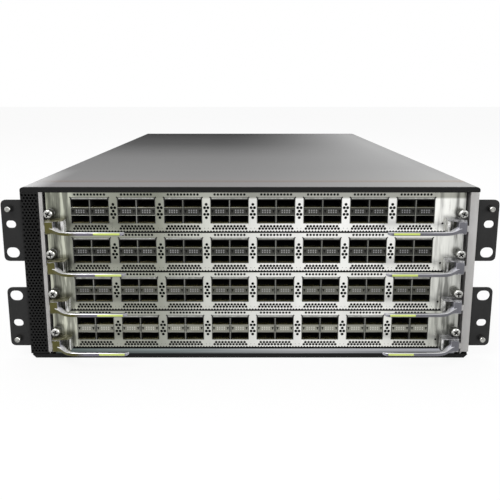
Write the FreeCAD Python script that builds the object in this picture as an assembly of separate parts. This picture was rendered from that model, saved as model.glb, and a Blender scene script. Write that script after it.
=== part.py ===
"""Modular chassis switch: a rack chassis with stacked line cards at the front,
power supplies and fan modules at the rear, and a midplane that joins them.

Frame: +X to the right and +Y to the back, seen from the front, +Z up.
The origin is the centre of the chassis underside. All sizes are in millimetres.
A card's own heights are measured from the bottom of its slot.
"""
import FreeCAD
import Part
import math
import os

Vec = FreeCAD.Vector

# ---- chassis -------------------------------------------------------------
body_width = 442.0
body_depth = 650.0
base_sheet = 1.5
cover_sheet = 1.2
corner_radius = 2.5
bottom_chamfer = 3.5
fold_width = 10.0
cover_side_depth = 12.0
joint_gap = 0.1
top_lip_height = 4.5
beam_depth = 32.0
seam_gap = 0.4
base_lip_height = 4.0
sill_gap = 0.8
sill_height = 5.1
sill_depth = 14.0
sill_end_gap = 6.0
sill_sheet = 1.2
front_sheet = 1.5

# ---- left vent column and the card cage ------------------------------------
column_width = 17.5
column_return = 12.0
column_fold_sheet = 0.8
vent_pitch = 5.0
vent_size = 3.7
vent_border = 1.9
cage_sheet = 1.5
left_strip_width = 3.5
strip_lift = 1.8
right_strip_width = 7.9
right_margin = 0.7
strip_seam = 0.2
left_panel_gap = 3.2
right_panel_gap = 4.6
rail_width = 22.0
rail_sheet = 1.5
rail_height = 0.8
rail_setback = 12.0
nut_tab_sheet = 2.0
nut_tab_setback = 12.5
nut_tab_width = 10.0

# ---- line cards ----------------------------------------------------------
card_count = 4
card_pitch = 40.0
slot_gap = 0.6
panel_gap = 0.8
panel_sheet = 2.0
panel_return = 8.0
panel_return_sheet = 1.2
panel_return_inset = 8.0
card_depth = 330.0
tray_sheet = 1.2
tray_inset = 13.0
tray_wall_height = 34.0
tray_slide_gap = 0.2
standoff_height = 3.1
standoff_width = 8.0
board_thickness = 2.4
board_inset = 3.0
heat_sink_width = 110.0
heat_sink_depth = 95.0
heat_sink_height = 22.0
heat_sink_base = 5.0
fin_count = 5
fin_thickness = 2.0
heat_sink_setback = 130.0

# ---- port cages ----------------------------------------------------------
port_groups = 8
group_end_margin = 22.6
group_shift = -2.9
port_width = 17.0
port_height = 7.6
port_divider = 1.8
cage_wall = 0.6
light_pipe_height = 7.6
gasket_height = 2.3
cage_floor = 0.5
cage_depth = 52.0
cage_back = 8.0
cutout_gap = 0.85
cutout_lower_gap = 0.4
cutout_upper_gap = 0.2

# ---- ejector levers --------------------------------------------------------
lever_inset = 5.7
pivot_reach = 5.5
pin_radius = 1.5
pin_clearance = 0.05
pin_sides = 8
clevis_bottom = 1.0
clevis_plate = 1.0
clevis_inner_height = 11.6
clevis_outboard = 4.5
clevis_inboard = 13.0
clevis_reach = 10.5
post_thickness = 3.0
post_reach = 8.0
hub_gap = 0.3
hub_radius = 4.0
hub_front = 12.0
hub_chamfer = 1.0
toe_reach = 8.4
toe_width = 3.0
arm_lift = 0.7
arm_height = 2.6
arm_thickness = 2.4
arm_reach = 23.0
arm_bend_run = 18.0
arm_length = 69.8
hook_run = 4.0
hook_angle = 45.0
window_inboard = 0.5

# ---- card thumbscrews ------------------------------------------------------
screw_height = 19.6
screw_inset = 4.0
screw_head_radius = 4.2
screw_head_length = 7.5
screw_head_gap = 0.5
screw_shank_radius = 2.0
screw_shank_length = 17.5
screw_hole_gap = 0.3
screw_shank_sides = 6
screw_hole_sides = 6

# ---- midplane --------------------------------------------------------------
midplane_thickness = 4.0
midplane_gap = 14.0
midplane_lift = 3.0
window_columns = 3
window_bar = 16.0
window_height = 11.0
window_bottom = 26.0
connector_width = 34.0
connector_height = 14.0
connector_depth = 12.0
mating_gap = 0.3
card_connector_lap = 10.0

# ---- rear: power supplies and fan modules --------------------------------------
supply_count = 4
supply_height = 40.0
supply_depth = 213.0
bay_gap = 0.4
bay_sheet = 1.5
supply_handle_width = 46.0
supply_handle_reach = 22.0
supply_handle_bar = 4.0
supply_handle_offset = 24.0
supply_handle_drop = 5.0
inlet_width = 27.0
inlet_height = 20.0
inlet_depth = 16.0
inlet_offset = -30.0
inlet_blade_width = 2.0
inlet_blade_height = 6.0
inlet_blade_length = 11.0
inlet_blade_spread = 7.0
inlet_blade_rise = 2.0
supply_fan_slot = 5.0
supply_fan_pitch = 10.0
supply_fan_margin = 10.0
supply_fan_slots = 3
fan_count = 3
fan_module_depth = 62.0
fan_plate = 3.0
fan_bore_radius = 57.0
fan_bore_sides = 20
fan_hub_radius = 23.0
fan_hub_sides = 14
fan_hub_length = 24.0
fan_hub_gap = 1.0
fan_shaft_radius = 3.0
fan_shaft_clearance = 0.05
fan_shaft_sides = 12
fan_shaft_length = 16.0
fan_shaft_end_gap = 0.5
blade_count = 6
blade_root_depth = 2.0
blade_tip_gap = 3.0
blade_chord = 24.0
blade_thickness = 1.8
blade_angle = 35.0
guard_slots = 3
guard_slot_width = 24.0
guard_bar = 4.0
fan_handle_width = 60.0
fan_handle_reach = 20.0
fan_handle_bar = 4.0

# ---- rack ears -------------------------------------------------------------
ear_reach = 20.3
ear_sheet = 2.0
ear_setback = 1.8
ear_height = 61.4
ear_side_depth = 60.0
ear_corner = 4.0
ear_slot_reach = 11.55
ear_centre_offset = 44.4
wide_slot_length = 13.0
wide_slot_width = 10.5
wide_slot_offset = 22.225
narrow_slot_length = 10.0
narrow_slot_width = 7.5
narrow_slot_offset = 50.8
stud_offset = 66.7
stud_radius = 2.7
stud_length = 6.0
stud_collar_radius = 4.0
stud_collar_length = 1.2
stud_collar_sides = 6
stud_sides = 10

# ---- how closely an edge is told from its neighbours ---------------------------
edge_tolerance = 0.01

# ---- places worked out from the sizes above -----------------------------------
front_y = -body_depth / 2.0
rear_y = body_depth / 2.0
half_width = body_width / 2.0
sill_bottom_z = base_lip_height + sill_gap
sill_top_z = sill_bottom_z + sill_height
first_slot_z = sill_top_z + slot_gap
stack_top_z = first_slot_z + card_count * card_pitch
body_height = stack_top_z + top_lip_height
side_x = half_width - cover_sheet - joint_gap
cover_under_z = body_height - cover_sheet
wall_start_y = front_y + front_sheet + joint_gap

column_inner_x = -half_width + column_width
left_wall_x = column_inner_x + strip_seam
left_inner_x = left_wall_x + cage_sheet
panel_left_x = left_wall_x + left_strip_width + left_panel_gap
right_strip_end_x = half_width - right_margin
right_wall_x = right_strip_end_x - right_strip_width
panel_right_x = right_wall_x - right_panel_gap
card_x = (panel_left_x + panel_right_x) / 2.0
panel_half = (panel_right_x - panel_left_x) / 2.0
tray_half = panel_half - tray_inset
group_width = 2.0 * port_width + port_divider + 2.0 * cage_wall
group_pitch = 2.0 * (panel_half - group_end_margin) / port_groups

tray_bottom = rail_height + rail_sheet + tray_slide_gap
board_bottom = tray_bottom + tray_sheet + standoff_height
board_top = board_bottom + board_thickness
lower_port_bottom = board_top + cage_floor
light_pipe_bottom = lower_port_bottom + port_height
upper_port_bottom = light_pipe_bottom + light_pipe_height
upper_port_top = upper_port_bottom + port_height
group_top = upper_port_top + gasket_height

screw_hole_radius = screw_shank_radius + screw_hole_gap

panel_back_y = front_y + panel_sheet
card_end_y = front_y + card_depth
midplane_y = card_end_y + midplane_gap
midplane_back_y = midplane_y + midplane_thickness
window_pitch = 2.0 * tray_half / window_columns
window_width = window_pitch - window_bar

bay_left_x = -side_x + base_sheet
bay_width = 2.0 * -bay_left_x
bay_floor_z = base_sheet + bottom_chamfer
supply_bottom_z = bay_floor_z + bay_sheet
supply_bay_top = supply_bottom_z + 2.0 * bay_gap + supply_height
fan_bay_bottom = supply_bay_top + bay_sheet
fan_bay_top = cover_under_z - base_sheet
rear_panel_y = rear_y - bay_sheet

ear_end_x = half_width + ear_reach
ear_slot_x = half_width + ear_slot_reach


# ---- small helpers ------------------------------------------------------------
def block(x, y, z):
    """A box between the low and high value given for each axis."""
    size = (x[1] - x[0], y[1] - y[0], z[1] - z[0])
    return Part.makeBox(size[0], size[1], size[2], Vec(x[0], y[0], z[0]))


def span(centre, width):
    """The low and high ends of a width about a centre."""
    return (centre - width / 2.0, centre + width / 2.0)


def face_of(points):
    """A flat face with straight edges through the points."""
    return Part.Face(Part.makePolygon(points + [points[0]]))


def prism(points, direction):
    """A flat outline pushed along a direction."""
    return face_of(points).extrude(direction)


def join(shapes):
    """One solid from touching shapes, with no leftover edges on flat faces."""
    return shapes[0].multiFuse(shapes[1:]).removeSplitter()


def group(shapes):
    """Separate solids that share one node."""
    return Part.makeCompound(shapes)


def slot_z(card):
    """Height of the bottom of a card's slot, counted from the lowest card."""
    return first_slot_z + card * card_pitch


def ring_points(centre, radius, sides, along):
    """Corners of a regular outline about a centre, square to +Y or +Z."""
    if along.z:
        across = (Vec(1.0, 0.0, 0.0), Vec(0.0, 1.0, 0.0))
    else:
        across = (Vec(1.0, 0.0, 0.0), Vec(0.0, 0.0, 1.0))
    points = []
    for i in range(sides):
        a = math.radians(360.0 * (i + 0.5) / sides)
        points.append(centre + across[0] * (radius * math.cos(a)) + across[1] * (radius * math.sin(a)))
    return points


def round_bar(centre, radius, sides, along):
    """A round form made as a prism whose corners lie on the given radius."""
    return prism(ring_points(centre, radius, sides, along), along)


def round_bore(centre, radius, sides, along):
    """The cut for a round hole, as a prism whose flats lie on the given radius."""
    return round_bar(centre, radius / math.cos(math.pi / sides), sides, along)


def even_centres(count, pitch, middle):
    """Centres of a row of equally spaced copies about a middle."""
    return [middle + (i - (count - 1) / 2.0) * pitch for i in range(count)]


# ---- chassis shell ------------------------------------------------------------
def chassis_base():
    """Folded tray: floor, side walls with inward top folds, and a front lip."""
    x = side_x
    t = base_sheet
    c = bottom_chamfer
    outer = [(-x, cover_under_z), (-x, c), (-x + c, 0.0), (x - c, 0.0), (x, c), (x, cover_under_z)]
    fold = x - fold_width
    inner_c = c - t * (2.0 - math.sqrt(2.0))
    top = cover_under_z - t
    inner = [(fold, cover_under_z), (fold, top), (x - t, top), (x - t, t + inner_c)]
    inner += [(x - t - inner_c, t), (-x + t + inner_c, t), (-x + t, t + inner_c), (-x + t, top)]
    inner += [(-fold, top), (-fold, cover_under_z)]
    outline = [Vec(px, wall_start_y, pz) for px, pz in outer + inner]
    shell = prism(outline, Vec(0.0, rear_y - wall_start_y, 0.0))
    lip_y = front_y + joint_gap
    lip = [(-x, base_lip_height), (-x, c), (-x + c, 0.0), (x - c, 0.0), (x, c), (x, base_lip_height)]
    lip_face = [Vec(px, lip_y, pz) for px, pz in lip]
    return join([shell, prism(lip_face, Vec(0.0, wall_start_y - lip_y, 0.0))])


def rounded_top(y0, y1, bottom):
    """A full-width slab of the chassis top with its two long edges rounded."""
    slab = block((-half_width, half_width), (y0, y1), (bottom, body_height))
    edges = [e for e in slab.Edges if is_top_side_edge(e)]
    return slab.makeFillet(corner_radius, edges)


def is_top_side_edge(edge):
    """True for an edge along Y at the top of a slab."""
    box = edge.BoundBox
    level = box.XLength < edge_tolerance and box.ZMin > body_height - edge_tolerance
    return level and box.YLength > edge_tolerance


def top_beam():
    """Front strip of the top, folded down into the dark lip above the cards."""
    end_y = front_y + beam_depth
    beam = rounded_top(front_y, end_y, stack_top_z)
    inside_x = half_width - cover_sheet
    pocket = block((-inside_x, inside_x), (front_y + front_sheet, end_y), (stack_top_z, cover_under_z))
    return beam.cut(pocket)


def top_cover():
    """Removable cover behind the beam, with side folds over the side walls."""
    start_y = front_y + beam_depth + seam_gap
    bottom = body_height - cover_side_depth
    cover = rounded_top(start_y, rear_y, bottom)
    inside_x = half_width - cover_sheet
    pocket = block((-inside_x, inside_x), (start_y, rear_y), (bottom, cover_under_z))
    return cover.cut(pocket)


def vent_outlines(x_range, z_range, y):
    """Square vent holes on their corners, in staggered rows."""
    row_pitch = vent_pitch * math.sqrt(3.0) / 2.0
    half = vent_size / 2.0
    rows = int((z_range[1] - z_range[0] - 2.0 * vent_border) / row_pitch) + 1
    wide_row = int((x_range[1] - x_range[0] - 2.0 * vent_border) / vent_pitch) + 1
    middle_x = (x_range[0] + x_range[1]) / 2.0
    middle_z = (z_range[0] + z_range[1]) / 2.0
    wires = []
    for row, z in enumerate(even_centres(rows, row_pitch, middle_z)):
        for x in even_centres(wide_row - row % 2, vent_pitch, middle_x):
            corners = [(x - half, z), (x, z + half), (x + half, z), (x, z - half)]
            points = [Vec(px, y, pz) for px, pz in corners]
            wires.append(Part.makePolygon(points + [points[0]]))
    return wires


def vent_column():
    """Perforated inlet grille beside the cards, with a return fold along the cage wall."""
    x_range = (-half_width, column_inner_x)
    z_range = (sill_bottom_z, stack_top_z - 2.0 * joint_gap)
    corners = [(x_range[0], z_range[0]), (x_range[1], z_range[0])]
    corners += [(x_range[1], z_range[1]), (x_range[0], z_range[1])]
    points = [Vec(px, front_y, pz) for px, pz in corners]
    outer = Part.makePolygon(points + [points[0]])
    sheet = Part.Face([outer] + vent_outlines(x_range, z_range, front_y))
    grille = sheet.extrude(Vec(0.0, front_sheet, 0.0))
    fold_y = (front_y + front_sheet, front_y + column_return)
    fold = block((column_inner_x - column_fold_sheet, column_inner_x), fold_y, z_range)
    return join([grille, fold])


def card_cage_wall(inner_x, side, strip_x):
    """One side wall of the card cage with its front strip.

    inner_x is the face towards the cards, which lie on the side given by 1 or -1.
    """
    wall_x = sorted((inner_x - side * cage_sheet, inner_x))
    top_z = stack_top_z - 2.0 * joint_gap
    wall = block(wall_x, (wall_start_y, midplane_back_y + fold_width), (base_sheet, top_z))
    strip = block(strip_x, (front_y, wall_start_y), (sill_bottom_z + strip_lift, top_z))
    return join([wall, strip])


def nut_tabs():
    """Tabs on the cage walls with a square hole that each thumbscrew enters.

    Each tab is made of four strips about its hole, so the hole stays open for collision.
    """
    y = (front_y + nut_tab_setback, front_y + nut_tab_setback + nut_tab_sheet)
    strips = []
    for side, wall_x in ((-1, left_inner_x), (1, right_wall_x)):
        screw_x = card_x + side * (panel_half - screw_inset)
        hole_x = sorted((screw_x - screw_hole_radius, screw_x + screw_hole_radius))
        tab_x = sorted((wall_x, screw_x - side * nut_tab_width / 2.0))
        for card in range(card_count):
            centre_z = slot_z(card) + screw_height
            tab_z = span(centre_z, nut_tab_width)
            hole_z = span(centre_z, 2.0 * screw_hole_radius)
            strips.append(block(tab_x, y, (tab_z[0], hole_z[0])))
            strips.append(block(tab_x, y, (hole_z[1], tab_z[1])))
            strips.append(block((tab_x[0], hole_x[0]), y, hole_z))
            strips.append(block((hole_x[1], tab_x[1]), y, hole_z))
    return group(strips)


def guide_rails():
    """Ledges on both cage walls that the trays slide on, two for each card."""
    y = (front_y + rail_setback, midplane_y)
    rails = []
    for card in range(card_count):
        z = (slot_z(card) + rail_height, slot_z(card) + rail_height + rail_sheet)
        rails.append(block((left_inner_x, left_inner_x + rail_width), y, z))
        rails.append(block((right_wall_x - rail_width, right_wall_x), y, z))
    return group(rails)


def front_sill():
    """Bright sill below the lowest card, folded back and down to the floor."""
    x = (left_inner_x + sill_end_gap, right_wall_x - sill_end_gap)
    back_y = front_y + sill_depth
    t = sill_sheet
    outline = [(front_y, sill_bottom_z), (front_y + t, sill_bottom_z), (front_y + t, sill_top_z - t)]
    outline += [(back_y - t, sill_top_z - t), (back_y - t, base_sheet), (back_y, base_sheet)]
    outline += [(back_y, sill_top_z), (front_y, sill_top_z)]
    points = [Vec(x[0], py, pz) for py, pz in outline]
    return prism(points, Vec(x[1] - x[0], 0.0, 0.0))


# ---- line cards ----------------------------------------------------------------
def group_centres():
    """Places of the port groups across a card."""
    return even_centres(port_groups, group_pitch, card_x + group_shift)


def card_point(side, inset, reach, z):
    """A point given by its distance from the card's middle and from its front."""
    return Vec(card_x + side * inset, front_y - reach, z)


def card_box(side, inset, reach, z):
    """A box given by distances from the card's middle and from its front."""
    x = sorted((card_x + side * inset[0], card_x + side * inset[1]))
    return block(x, (front_y - reach[1], front_y - reach[0]), z)


def lever_clevis(side, bottom):
    """Fixed fork with its pin, in which one ejector lever turns, riveted to the panel's face."""
    pivot = panel_half - lever_inset
    z0 = bottom + clevis_bottom
    z3 = z0 + 2.0 * clevis_plate + clevis_inner_height
    inset = (pivot - clevis_inboard, pivot + clevis_outboard)
    reach = (0.0, clevis_reach)
    lower = card_box(side, inset, reach, (z0, z0 + clevis_plate))
    upper = card_box(side, inset, reach, (z3 - clevis_plate, z3))
    post = card_box(side, (inset[0], inset[0] + post_thickness), (0.0, post_reach), (z0, z3))
    seat = card_point(side, pivot, pivot_reach, z0)
    pin = round_bar(seat, pin_radius, pin_sides, Vec(0.0, 0.0, z3 - z0))
    return join([lower, upper, post, pin])


def card_panel(card):
    """Front panel of a card, with port cut-outs and folds, and the two lever forks on it."""
    bottom = slot_z(card)
    z = (bottom + panel_gap / 2.0, bottom + card_pitch - panel_gap / 2.0)
    panel = block((panel_left_x, panel_right_x), (front_y, panel_back_y), z)
    cuts = []
    cut_z = (bottom + board_top - cutout_lower_gap, bottom + group_top + cutout_upper_gap)
    for x in group_centres():
        cuts.append(block(span(x, group_width + 2.0 * cutout_gap), (front_y, panel_back_y), cut_z))
    window_low = bottom + clevis_bottom + clevis_plate
    window_z = (window_low, window_low + clevis_inner_height)
    window = (panel_half - lever_inset - window_inboard, panel_half)
    screw_z = bottom + screw_height
    for side in (-1, 1):
        cuts.append(card_box(side, window, (-panel_sheet, 0.0), window_z))
        centre = card_point(side, panel_half - screw_inset, 0.0, screw_z)
        cuts.append(round_bore(centre, screw_hole_radius, screw_hole_sides, Vec(0.0, panel_sheet, 0.0)))
    pieces = [panel.cut(cuts)]
    fold_x = (panel_left_x + tray_inset + panel_return_inset, panel_right_x - tray_inset - panel_return_inset)
    fold_y = (panel_back_y, panel_back_y + panel_return)
    pieces.append(block(fold_x, fold_y, (z[0], z[0] + panel_return_sheet)))
    pieces.append(block(fold_x, fold_y, (z[1] - panel_return_sheet, z[1])))
    forks = [lever_clevis(side, bottom) for side in (-1, 1)]
    return group([join(pieces)] + forks)


def card_tray(card):
    """Folded tray that carries a card's board and slides on the guide rails."""
    bottom = slot_z(card) + tray_bottom
    x = (card_x - tray_half, card_x + tray_half)
    y = (panel_back_y, card_end_y)
    wall_top = slot_z(card) + tray_bottom + tray_wall_height
    outline = [(x[0], bottom), (x[1], bottom), (x[1], wall_top), (x[1] - tray_sheet, wall_top)]
    outline += [(x[1] - tray_sheet, bottom + tray_sheet), (x[0] + tray_sheet, bottom + tray_sheet)]
    outline += [(x[0] + tray_sheet, wall_top), (x[0], wall_top)]
    points = [Vec(px, y[0], pz) for px, pz in outline]
    pieces = [prism(points, Vec(0.0, y[1] - y[0], 0.0))]
    standoff_z = (bottom + tray_sheet, slot_z(card) + board_bottom)
    inset = tray_half - tray_sheet - board_inset - standoff_width
    for px in (card_x - inset, card_x + inset):
        for py in (y[0] + cage_depth, y[1] - cage_depth):
            pieces.append(block(span(px, standoff_width), span(py, standoff_width), standoff_z))
    return join(pieces)


def heat_sink(bottom):
    """Finned block over the card's main chip, with fins along the air flow."""
    y = (front_y + heat_sink_setback, front_y + heat_sink_setback + heat_sink_depth)
    pieces = [block(span(card_x, heat_sink_width), y, (bottom, bottom + heat_sink_base))]
    pitch = (heat_sink_width - fin_thickness) / (fin_count - 1)
    for x in even_centres(fin_count, pitch, card_x):
        fin_z = (bottom + heat_sink_base, bottom + heat_sink_height)
        pieces.append(block(span(x, fin_thickness), y, fin_z))
    return join(pieces)


def card_board(card):
    """Circuit board with its heat sink and rear connectors."""
    z = (slot_z(card) + board_bottom, slot_z(card) + board_top)
    x = (card_x - tray_half + tray_sheet + board_inset, card_x + tray_half - tray_sheet - board_inset)
    parts = [block(x, (panel_back_y + board_inset, card_end_y), z), heat_sink(z[1])]
    end_y = midplane_y - connector_depth - mating_gap
    connector_y = (card_end_y - card_connector_lap, end_y)
    for cx in even_centres(window_columns, window_pitch, card_x):
        parts.append(block(span(cx, connector_width), connector_y, (z[1], z[1] + connector_height)))
    return group(parts)


def port_group(centre_x, bottom):
    """Stacked cage for two ports above two: walls, divider and light pipes."""
    half = group_width / 2.0
    wall_y = (front_y, front_y + cage_depth - cage_back)
    z0 = bottom + board_top
    z1 = bottom + lower_port_bottom
    z2 = bottom + light_pipe_bottom
    z3 = bottom + upper_port_bottom
    z4 = bottom + upper_port_top
    z5 = bottom + group_top
    x = (centre_x - half, centre_x + half)
    walls = [block(x, wall_y, (z0, z1)), block(x, wall_y, (z4, z5))]
    walls.append(block((x[0], x[0] + cage_wall), wall_y, (z1, z4)))
    walls.append(block((x[1] - cage_wall, x[1]), wall_y, (z1, z4)))
    divider = span(centre_x, port_divider)
    walls.append(block(divider, wall_y, (z1, z4)))
    walls.append(block((x[0] + cage_wall, divider[0]), wall_y, (z2, z3)))
    walls.append(block((divider[1], x[1] - cage_wall), wall_y, (z2, z3)))
    return walls


def port_cages(card):
    """All the port cages of a card, as separate sheets, and the connector bar behind them."""
    bottom = slot_z(card)
    centres = group_centres()
    bar_x = (centres[0] - group_width / 2.0, centres[-1] + group_width / 2.0)
    bar_y = (front_y + cage_depth - cage_back, front_y + cage_depth)
    parts = [block(bar_x, bar_y, (bottom + board_top, bottom + group_top))]
    for x in centres:
        parts += port_group(x, bottom)
    return group(parts)


def lever_arm_outline(pivot):
    """The arm seen from above, as (distance from the card's middle, reach) pairs."""
    start = pivot - hub_radius
    bend = pivot - arm_bend_run
    end = pivot - arm_length
    back = arm_reach - arm_thickness
    root = hub_front - arm_thickness
    slant = math.atan2(arm_reach - hub_front, start - bend)
    bend_mitre = arm_thickness * math.tan(slant / 2.0)
    hook_mitre = arm_thickness * math.tan(math.radians(hook_angle / 2.0))
    outline = [(pivot, root), (pivot, hub_front), (start, hub_front), (bend, arm_reach), (end, arm_reach)]
    outline += [(end - hook_run, arm_reach - hook_run), (end - hook_run, back - hook_run)]
    outline += [(end + hook_mitre, back), (bend - bend_mitre, back), (start - bend_mitre, root)]
    return outline


def ejector_lever(card, side):
    """Lever that turns on the fork's pin: hub, toe, angled arm, grip and hook."""
    pivot = panel_half - lever_inset
    bottom = slot_z(card) + clevis_bottom + clevis_plate + hub_gap
    hub_height = clevis_inner_height - 2.0 * hub_gap
    hub_centre = card_point(side, pivot, pivot_reach, bottom)
    up = Vec(0.0, 0.0, hub_height)
    hub = Part.makeCylinder(hub_radius, hub_height, hub_centre)
    corner = hub_radius - hub_chamfer
    front = [(-hub_radius, pivot_reach), (-hub_radius, hub_front), (corner, hub_front)]
    front += [(hub_radius, hub_front - hub_chamfer), (hub_radius, pivot_reach)]
    nose = prism([card_point(side, pivot + a, p, bottom) for a, p in front], up)
    toe_z = (bottom, bottom + hub_height)
    toe = card_box(side, (pivot, pivot + toe_reach), span(pivot_reach, toe_width), toe_z)
    arm = [card_point(side, a, p, bottom + arm_lift) for a, p in lever_arm_outline(pivot)]
    bar = prism(arm, Vec(0.0, 0.0, arm_height))
    lever = join([hub, nose, toe, bar])
    return lever.cut(round_bore(hub_centre, pin_radius + pin_clearance, pin_sides, up))


def thumbscrew(card, side):
    """Captive thumbscrew: a round head on a plain shank."""
    z = slot_z(card) + screw_height
    head_back = card_point(side, panel_half - screw_inset, screw_head_gap, z)
    shank_length = Vec(0.0, screw_shank_length, 0.0)
    head = Part.makeCylinder(screw_head_radius, screw_head_length, head_back, Vec(0.0, -1.0, 0.0))
    shank = round_bar(head_back, screw_shank_radius, screw_shank_sides, shank_length)
    return join([head, shank])


# ---- midplane --------------------------------------------------------------------
def midplane():
    """Upright circuit board between the cards and the rear, with air windows."""
    z = (base_sheet, stack_top_z - midplane_lift)
    plate = block((left_inner_x, right_wall_x), (midplane_y, midplane_back_y), z)
    windows = []
    for card in range(card_count):
        low = slot_z(card) + window_bottom
        for x in even_centres(window_columns, window_pitch, card_x):
            window_z = (low, low + window_height)
            windows.append(block(span(x, window_width), (midplane_y, midplane_back_y), window_z))
    return plate.cut(windows)


def midplane_connectors():
    """Receptacles on the midplane's front, in line with the cards' connectors."""
    y = (midplane_y - connector_depth, midplane_y)
    parts = []
    for card in range(card_count):
        low = slot_z(card) + board_top
        for x in even_centres(window_columns, window_pitch, card_x):
            parts.append(block(span(x, connector_width), y, (low, low + connector_height)))
    return group(parts)


# ---- rear end --------------------------------------------------------------------
def bays(count):
    """The clear X ranges of equal bays side by side across the rear."""
    clear = (bay_width - (count - 1) * bay_sheet) / count
    starts = [bay_left_x + i * (clear + bay_sheet) for i in range(count)]
    return [(x, x + clear) for x in starts]


def rear_frame():
    """Rear panel with a shelf and dividers that form the module bays."""
    panel = block((bay_left_x, -bay_left_x), (rear_panel_y, rear_y), (bay_floor_z, fan_bay_top))
    supply_z = (supply_bottom_z, supply_bay_top)
    fan_z = (fan_bay_bottom, fan_bay_top)
    cuts = []
    pieces = []
    shelf_y = (rear_y - supply_depth, rear_panel_y)
    pieces.append(block((bay_left_x, -bay_left_x), shelf_y, (supply_bay_top, fan_bay_bottom)))
    pieces.append(block((bay_left_x, -bay_left_x), shelf_y, (bay_floor_z, supply_bottom_z)))
    for x in even_centres(2, bay_width - 2.0 * fold_width, 0.0):
        pieces.append(block(span(x, bay_sheet), shelf_y, (base_sheet, bay_floor_z)))
    for x in bays(supply_count):
        cuts.append(block(x, (rear_panel_y, rear_y), supply_z))
    for x in bays(supply_count)[:-1]:
        pieces.append(block((x[1], x[1] + bay_sheet), shelf_y, supply_z))
    fan_divider_y = (rear_y - fan_module_depth, rear_panel_y)
    for x in bays(fan_count):
        cuts.append(block(x, (rear_panel_y, rear_y), (fan_z[0], fan_z[1] - bay_sheet)))
    for x in bays(fan_count)[:-1]:
        pieces.append(block((x[1], x[1] + bay_sheet), fan_divider_y, fan_z))
    return join([panel.cut(cuts)] + pieces)


def pull_handle(centre_x, width, reach, bar, z):
    """Square bar bent into a U, standing out of a rear face."""
    y0 = rear_y
    y1 = rear_y + reach
    half = width / 2.0
    outline = [(-half, y0), (-half, y1 - bar), (-half + bar, y1), (half - bar, y1), (half, y1 - bar)]
    outline += [(half, y0), (half - bar, y0), (half - bar, y1 - bar)]
    outline += [(bar - half, y1 - bar), (bar - half, y0)]
    points = [Vec(centre_x + px, py, z - bar / 2.0) for px, py in outline]
    return prism(points, Vec(0.0, 0.0, bar))


def power_supply(index):
    """Slide-in power supply: closed case, inlet with three blades, vents, handle."""
    bay = bays(supply_count)[index]
    x = (bay[0] + bay_gap, bay[1] - bay_gap)
    z = (supply_bottom_z + bay_gap / 2.0, supply_bottom_z + bay_gap / 2.0 + supply_height)
    middle_x = (x[0] + x[1]) / 2.0
    middle_z = (z[0] + z[1]) / 2.0
    case = block(x, (rear_y - supply_depth, rear_y), z)
    inlet_x = middle_x + inlet_offset
    recess = block(span(inlet_x, inlet_width), (rear_y - inlet_depth, rear_y), span(middle_z, inlet_height))
    cuts = [recess]
    slot_z_range = span(middle_z, supply_height - 2.0 * supply_fan_margin)
    for sx in even_centres(supply_fan_slots, supply_fan_pitch, middle_x + supply_handle_offset):
        cuts.append(block(span(sx, supply_fan_slot), (rear_y - inlet_depth, rear_y), slot_z_range))
    pieces = [case.cut(cuts)]
    blade_y = (rear_y - inlet_depth, rear_y - inlet_depth + inlet_blade_length)
    for place, rise in ((-1, -1), (0, 1), (1, -1)):
        blade_x = span(inlet_x + place * inlet_blade_spread, inlet_blade_width)
        blade_z = span(middle_z + rise * inlet_blade_rise, inlet_blade_height)
        pieces.append(block(blade_x, blade_y, blade_z))
    handle_x = middle_x + supply_handle_offset
    handle_z = z[1] - supply_handle_drop
    bar = supply_handle_bar
    pieces.append(pull_handle(handle_x, supply_handle_width, supply_handle_reach, bar, handle_z))
    return join(pieces)


def fan_middle(index):
    """Centre of a fan module: its X and its Z."""
    bay = bays(fan_count)[index]
    return ((bay[0] + bay[1]) / 2.0, (fan_bay_bottom + fan_bay_top - bay_sheet) / 2.0)


def fan_module(index):
    """Slide-in fan frame: open duct, rear guard, motor mount with shaft, handle."""
    bay = bays(fan_count)[index]
    x = (bay[0] + bay_gap, bay[1] - bay_gap)
    z = (fan_bay_bottom + bay_gap / 2.0, fan_bay_top - bay_sheet - bay_gap)
    middle_x, middle_z = fan_middle(index)
    front = rear_y - fan_module_depth
    guard_y = rear_y - fan_plate
    frame = block(x, (front, rear_y), z)
    duct_start = Vec(middle_x, front, middle_z)
    duct = round_bore(duct_start, fan_bore_radius, fan_bore_sides, Vec(0.0, guard_y - front, 0.0))
    cuts = [duct]
    pitch = guard_slot_width + guard_bar
    for sx in even_centres(guard_slots, pitch, middle_x):
        corner_x = abs(sx - middle_x) + guard_slot_width / 2.0
        reach = math.sqrt((fan_bore_radius - guard_bar) ** 2 - corner_x ** 2)
        for sign in (-1.0, 1.0):
            near = middle_z + sign * fan_hub_radius
            far = middle_z + sign * reach
            cuts.append(block(span(sx, guard_slot_width), (guard_y, rear_y), sorted((near, far))))
    mount = Vec(middle_x, guard_y, middle_z)
    shaft = round_bar(mount, fan_shaft_radius, fan_shaft_sides, Vec(0.0, -fan_shaft_length, 0.0))
    handle = pull_handle(middle_x, fan_handle_width, fan_handle_reach, fan_handle_bar, middle_z)
    return join([frame.cut(cuts), shaft, handle])


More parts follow.
